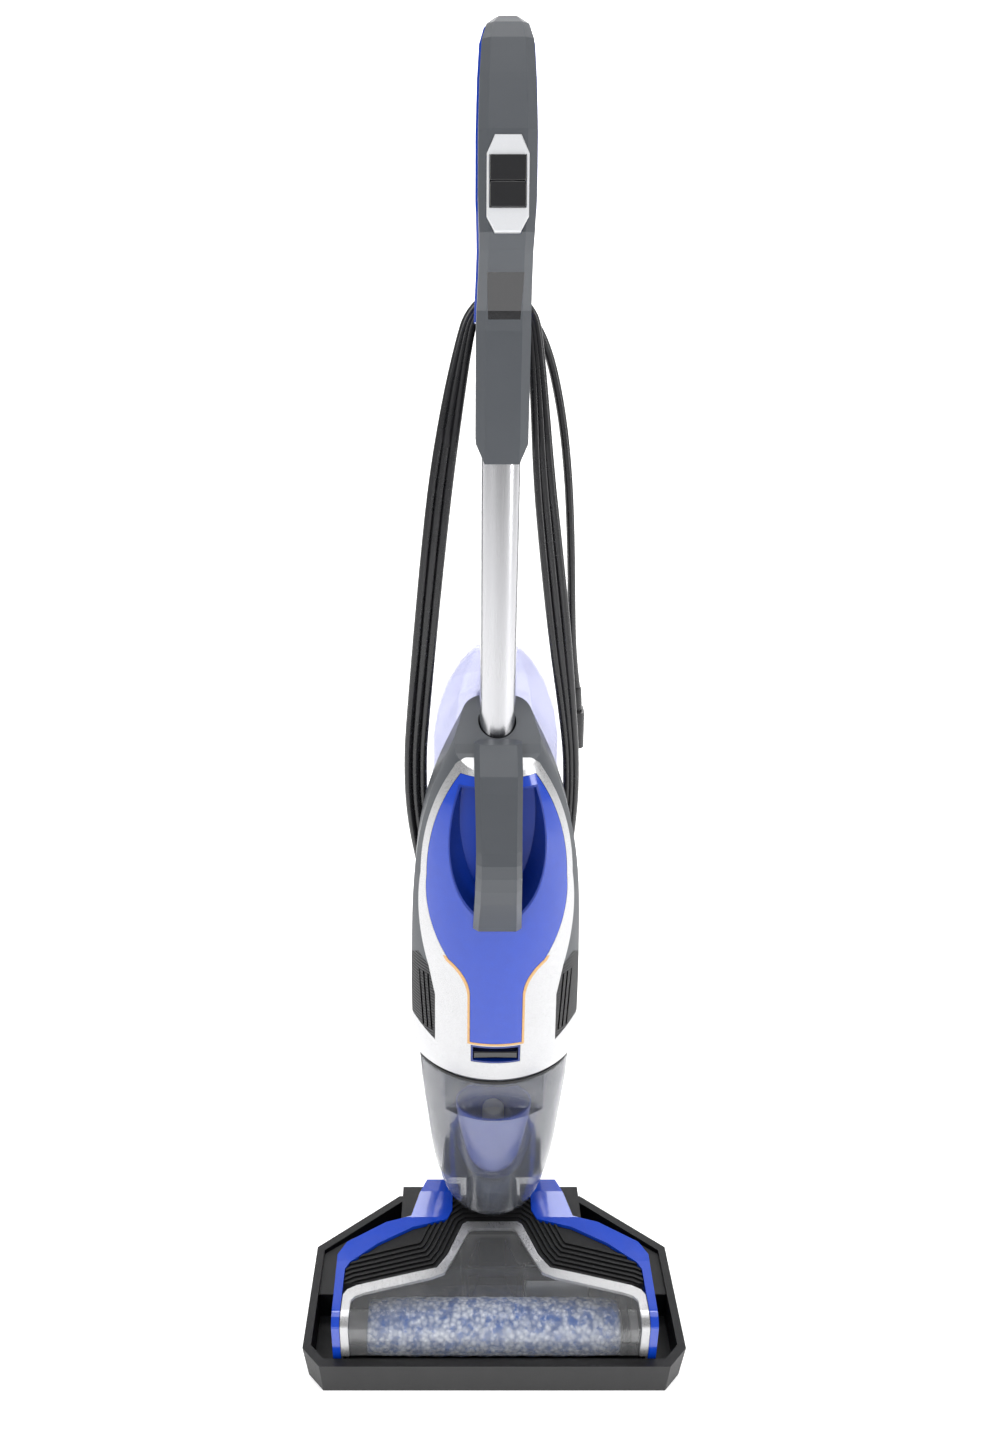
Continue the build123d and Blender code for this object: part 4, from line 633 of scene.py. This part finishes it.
def area_light(name, place, target, size, power):
    data = bpy.data.lights.new(name, "AREA")
    data.shape = "RECTANGLE"
    data.size, data.size_y = size
    data.energy = power
    light = bpy.data.objects.new(name, data)
    light.location = place
    light.rotation_euler = (Vector(target) - Vector(place)).to_track_quat("-Z", "Y").to_euler()
    bpy.context.scene.collection.objects.link(light)
    return light


class WASHER_OT_stage(bpy.types.Operator):
    """Pale floor that sweeps up behind, studio lights and the camera"""
    bl_idname = "washer.stage"
    bl_label = "Stage"

    def execute(self, context):
        scene = context.scene
        floor = bmesh.new()
        profile = [(-4.0, 0.0), (2.6, 0.0)]
        profile += [(2.6 + 1.4 * math.sin(a), 1.4 - 1.4 * math.cos(a))
                    for a in (math.pi / 24 * step for step in range(1, 13))]
        profile += [(4.0, 6.0)]
        rows = [[floor.verts.new((x, y, z)) for y, z in profile] for x in (-6.0, 6.0)]
        for step in range(len(profile) - 1):
            floor.faces.new((rows[0][step], rows[1][step], rows[1][step + 1], rows[0][step + 1]))
        mesh = bpy.data.meshes.new("studio_floor")
        floor.to_mesh(mesh)
        floor.free()
        for face in mesh.polygons:
            face.use_smooth = True
        backdrop = bpy.data.objects.new("studio_floor", mesh)
        scene.collection.objects.link(backdrop)
        shader = Shader("studio_paper")
        paper = shader.speckle(6.0, 2.0)
        mesh.materials.append(shader.finish(
            Base_Color=shader.blend(paper, (0.93, 0.93, 0.93), (0.95, 0.95, 0.95)), Roughness=0.9,
            Emission_Color=(1.0, 1.0, 1.0), Emission_Strength=0.55))

        world = scene.world or bpy.data.worlds.new("studio_world")
        scene.world = world
        world.use_nodes = True
        world.node_tree.nodes["Background"].inputs["Color"].default_value = (1.0, 1.0, 1.0, 1.0)
        world.node_tree.nodes["Background"].inputs["Strength"].default_value = WORLD_STRENGTH
        for name, place, target, size, power in LIGHTS:
            area_light(name, place, target, size, power)

        data = bpy.data.cameras.new("camera")
        data.lens = CAMERA_LENS
        data.sensor_width = 36.0
        data.shift_x = CAMERA_SHIFT
        camera = bpy.data.objects.new("camera", data)
        camera.location = CAMERA_PLACE
        camera.rotation_euler = (math.radians(90 - CAMERA_PITCH), 0.0, 0.0)
        scene.collection.objects.link(camera)
        scene.camera = camera
        scene.view_settings.view_transform = "Standard"
        return {"FINISHED"}


class WASHER_PT_panel(bpy.types.Panel):
    """Lists the washer's pieces and finishes"""
    bl_idname = "WASHER_PT_panel"
    bl_label = "Floor Washer"
    bl_space_type = "VIEW_3D"
    bl_region_type = "UI"
    bl_category = "Washer"

    def draw(self, context):
        for step in STEPS:
            self.layout.operator(step.bl_idname)
        for group in (context.scene.washer_colours, context.scene.washer_sizes):
            for name in group.bl_rna.properties.keys():
                if name not in ("rna_type", "name"):
                    self.layout.prop(group, name)


STEPS = (WASHER_OT_stage, WASHER_OT_cord, WASHER_OT_plastics, WASHER_OT_metals, WASHER_OT_clears,
         WASHER_OT_rubbers, WASHER_OT_brush_nap, WASHER_OT_screws)
CLASSES = (WasherColours, WasherSizes, *STEPS, WASHER_PT_panel)


def register():
    for item in CLASSES:
        bpy.utils.register_class(item)
    bpy.types.Scene.washer_colours = bpy.props.PointerProperty(type=WasherColours)
    bpy.types.Scene.washer_sizes = bpy.props.PointerProperty(type=WasherSizes)


def unregister():
    del bpy.types.Scene.washer_sizes
    del bpy.types.Scene.washer_colours
    for item in reversed(CLASSES):
        bpy.utils.unregister_class(item)


def main():
    register()
    bpy.ops.washer.stage()
    bpy.ops.washer.cord()
    bpy.ops.washer.plastics()
    bpy.ops.washer.metals()
    bpy.ops.washer.clears()
    bpy.ops.washer.rubbers()
    bpy.ops.washer.brush_nap()
    bpy.ops.washer.screws()


if __name__ == "__main__":
    main()
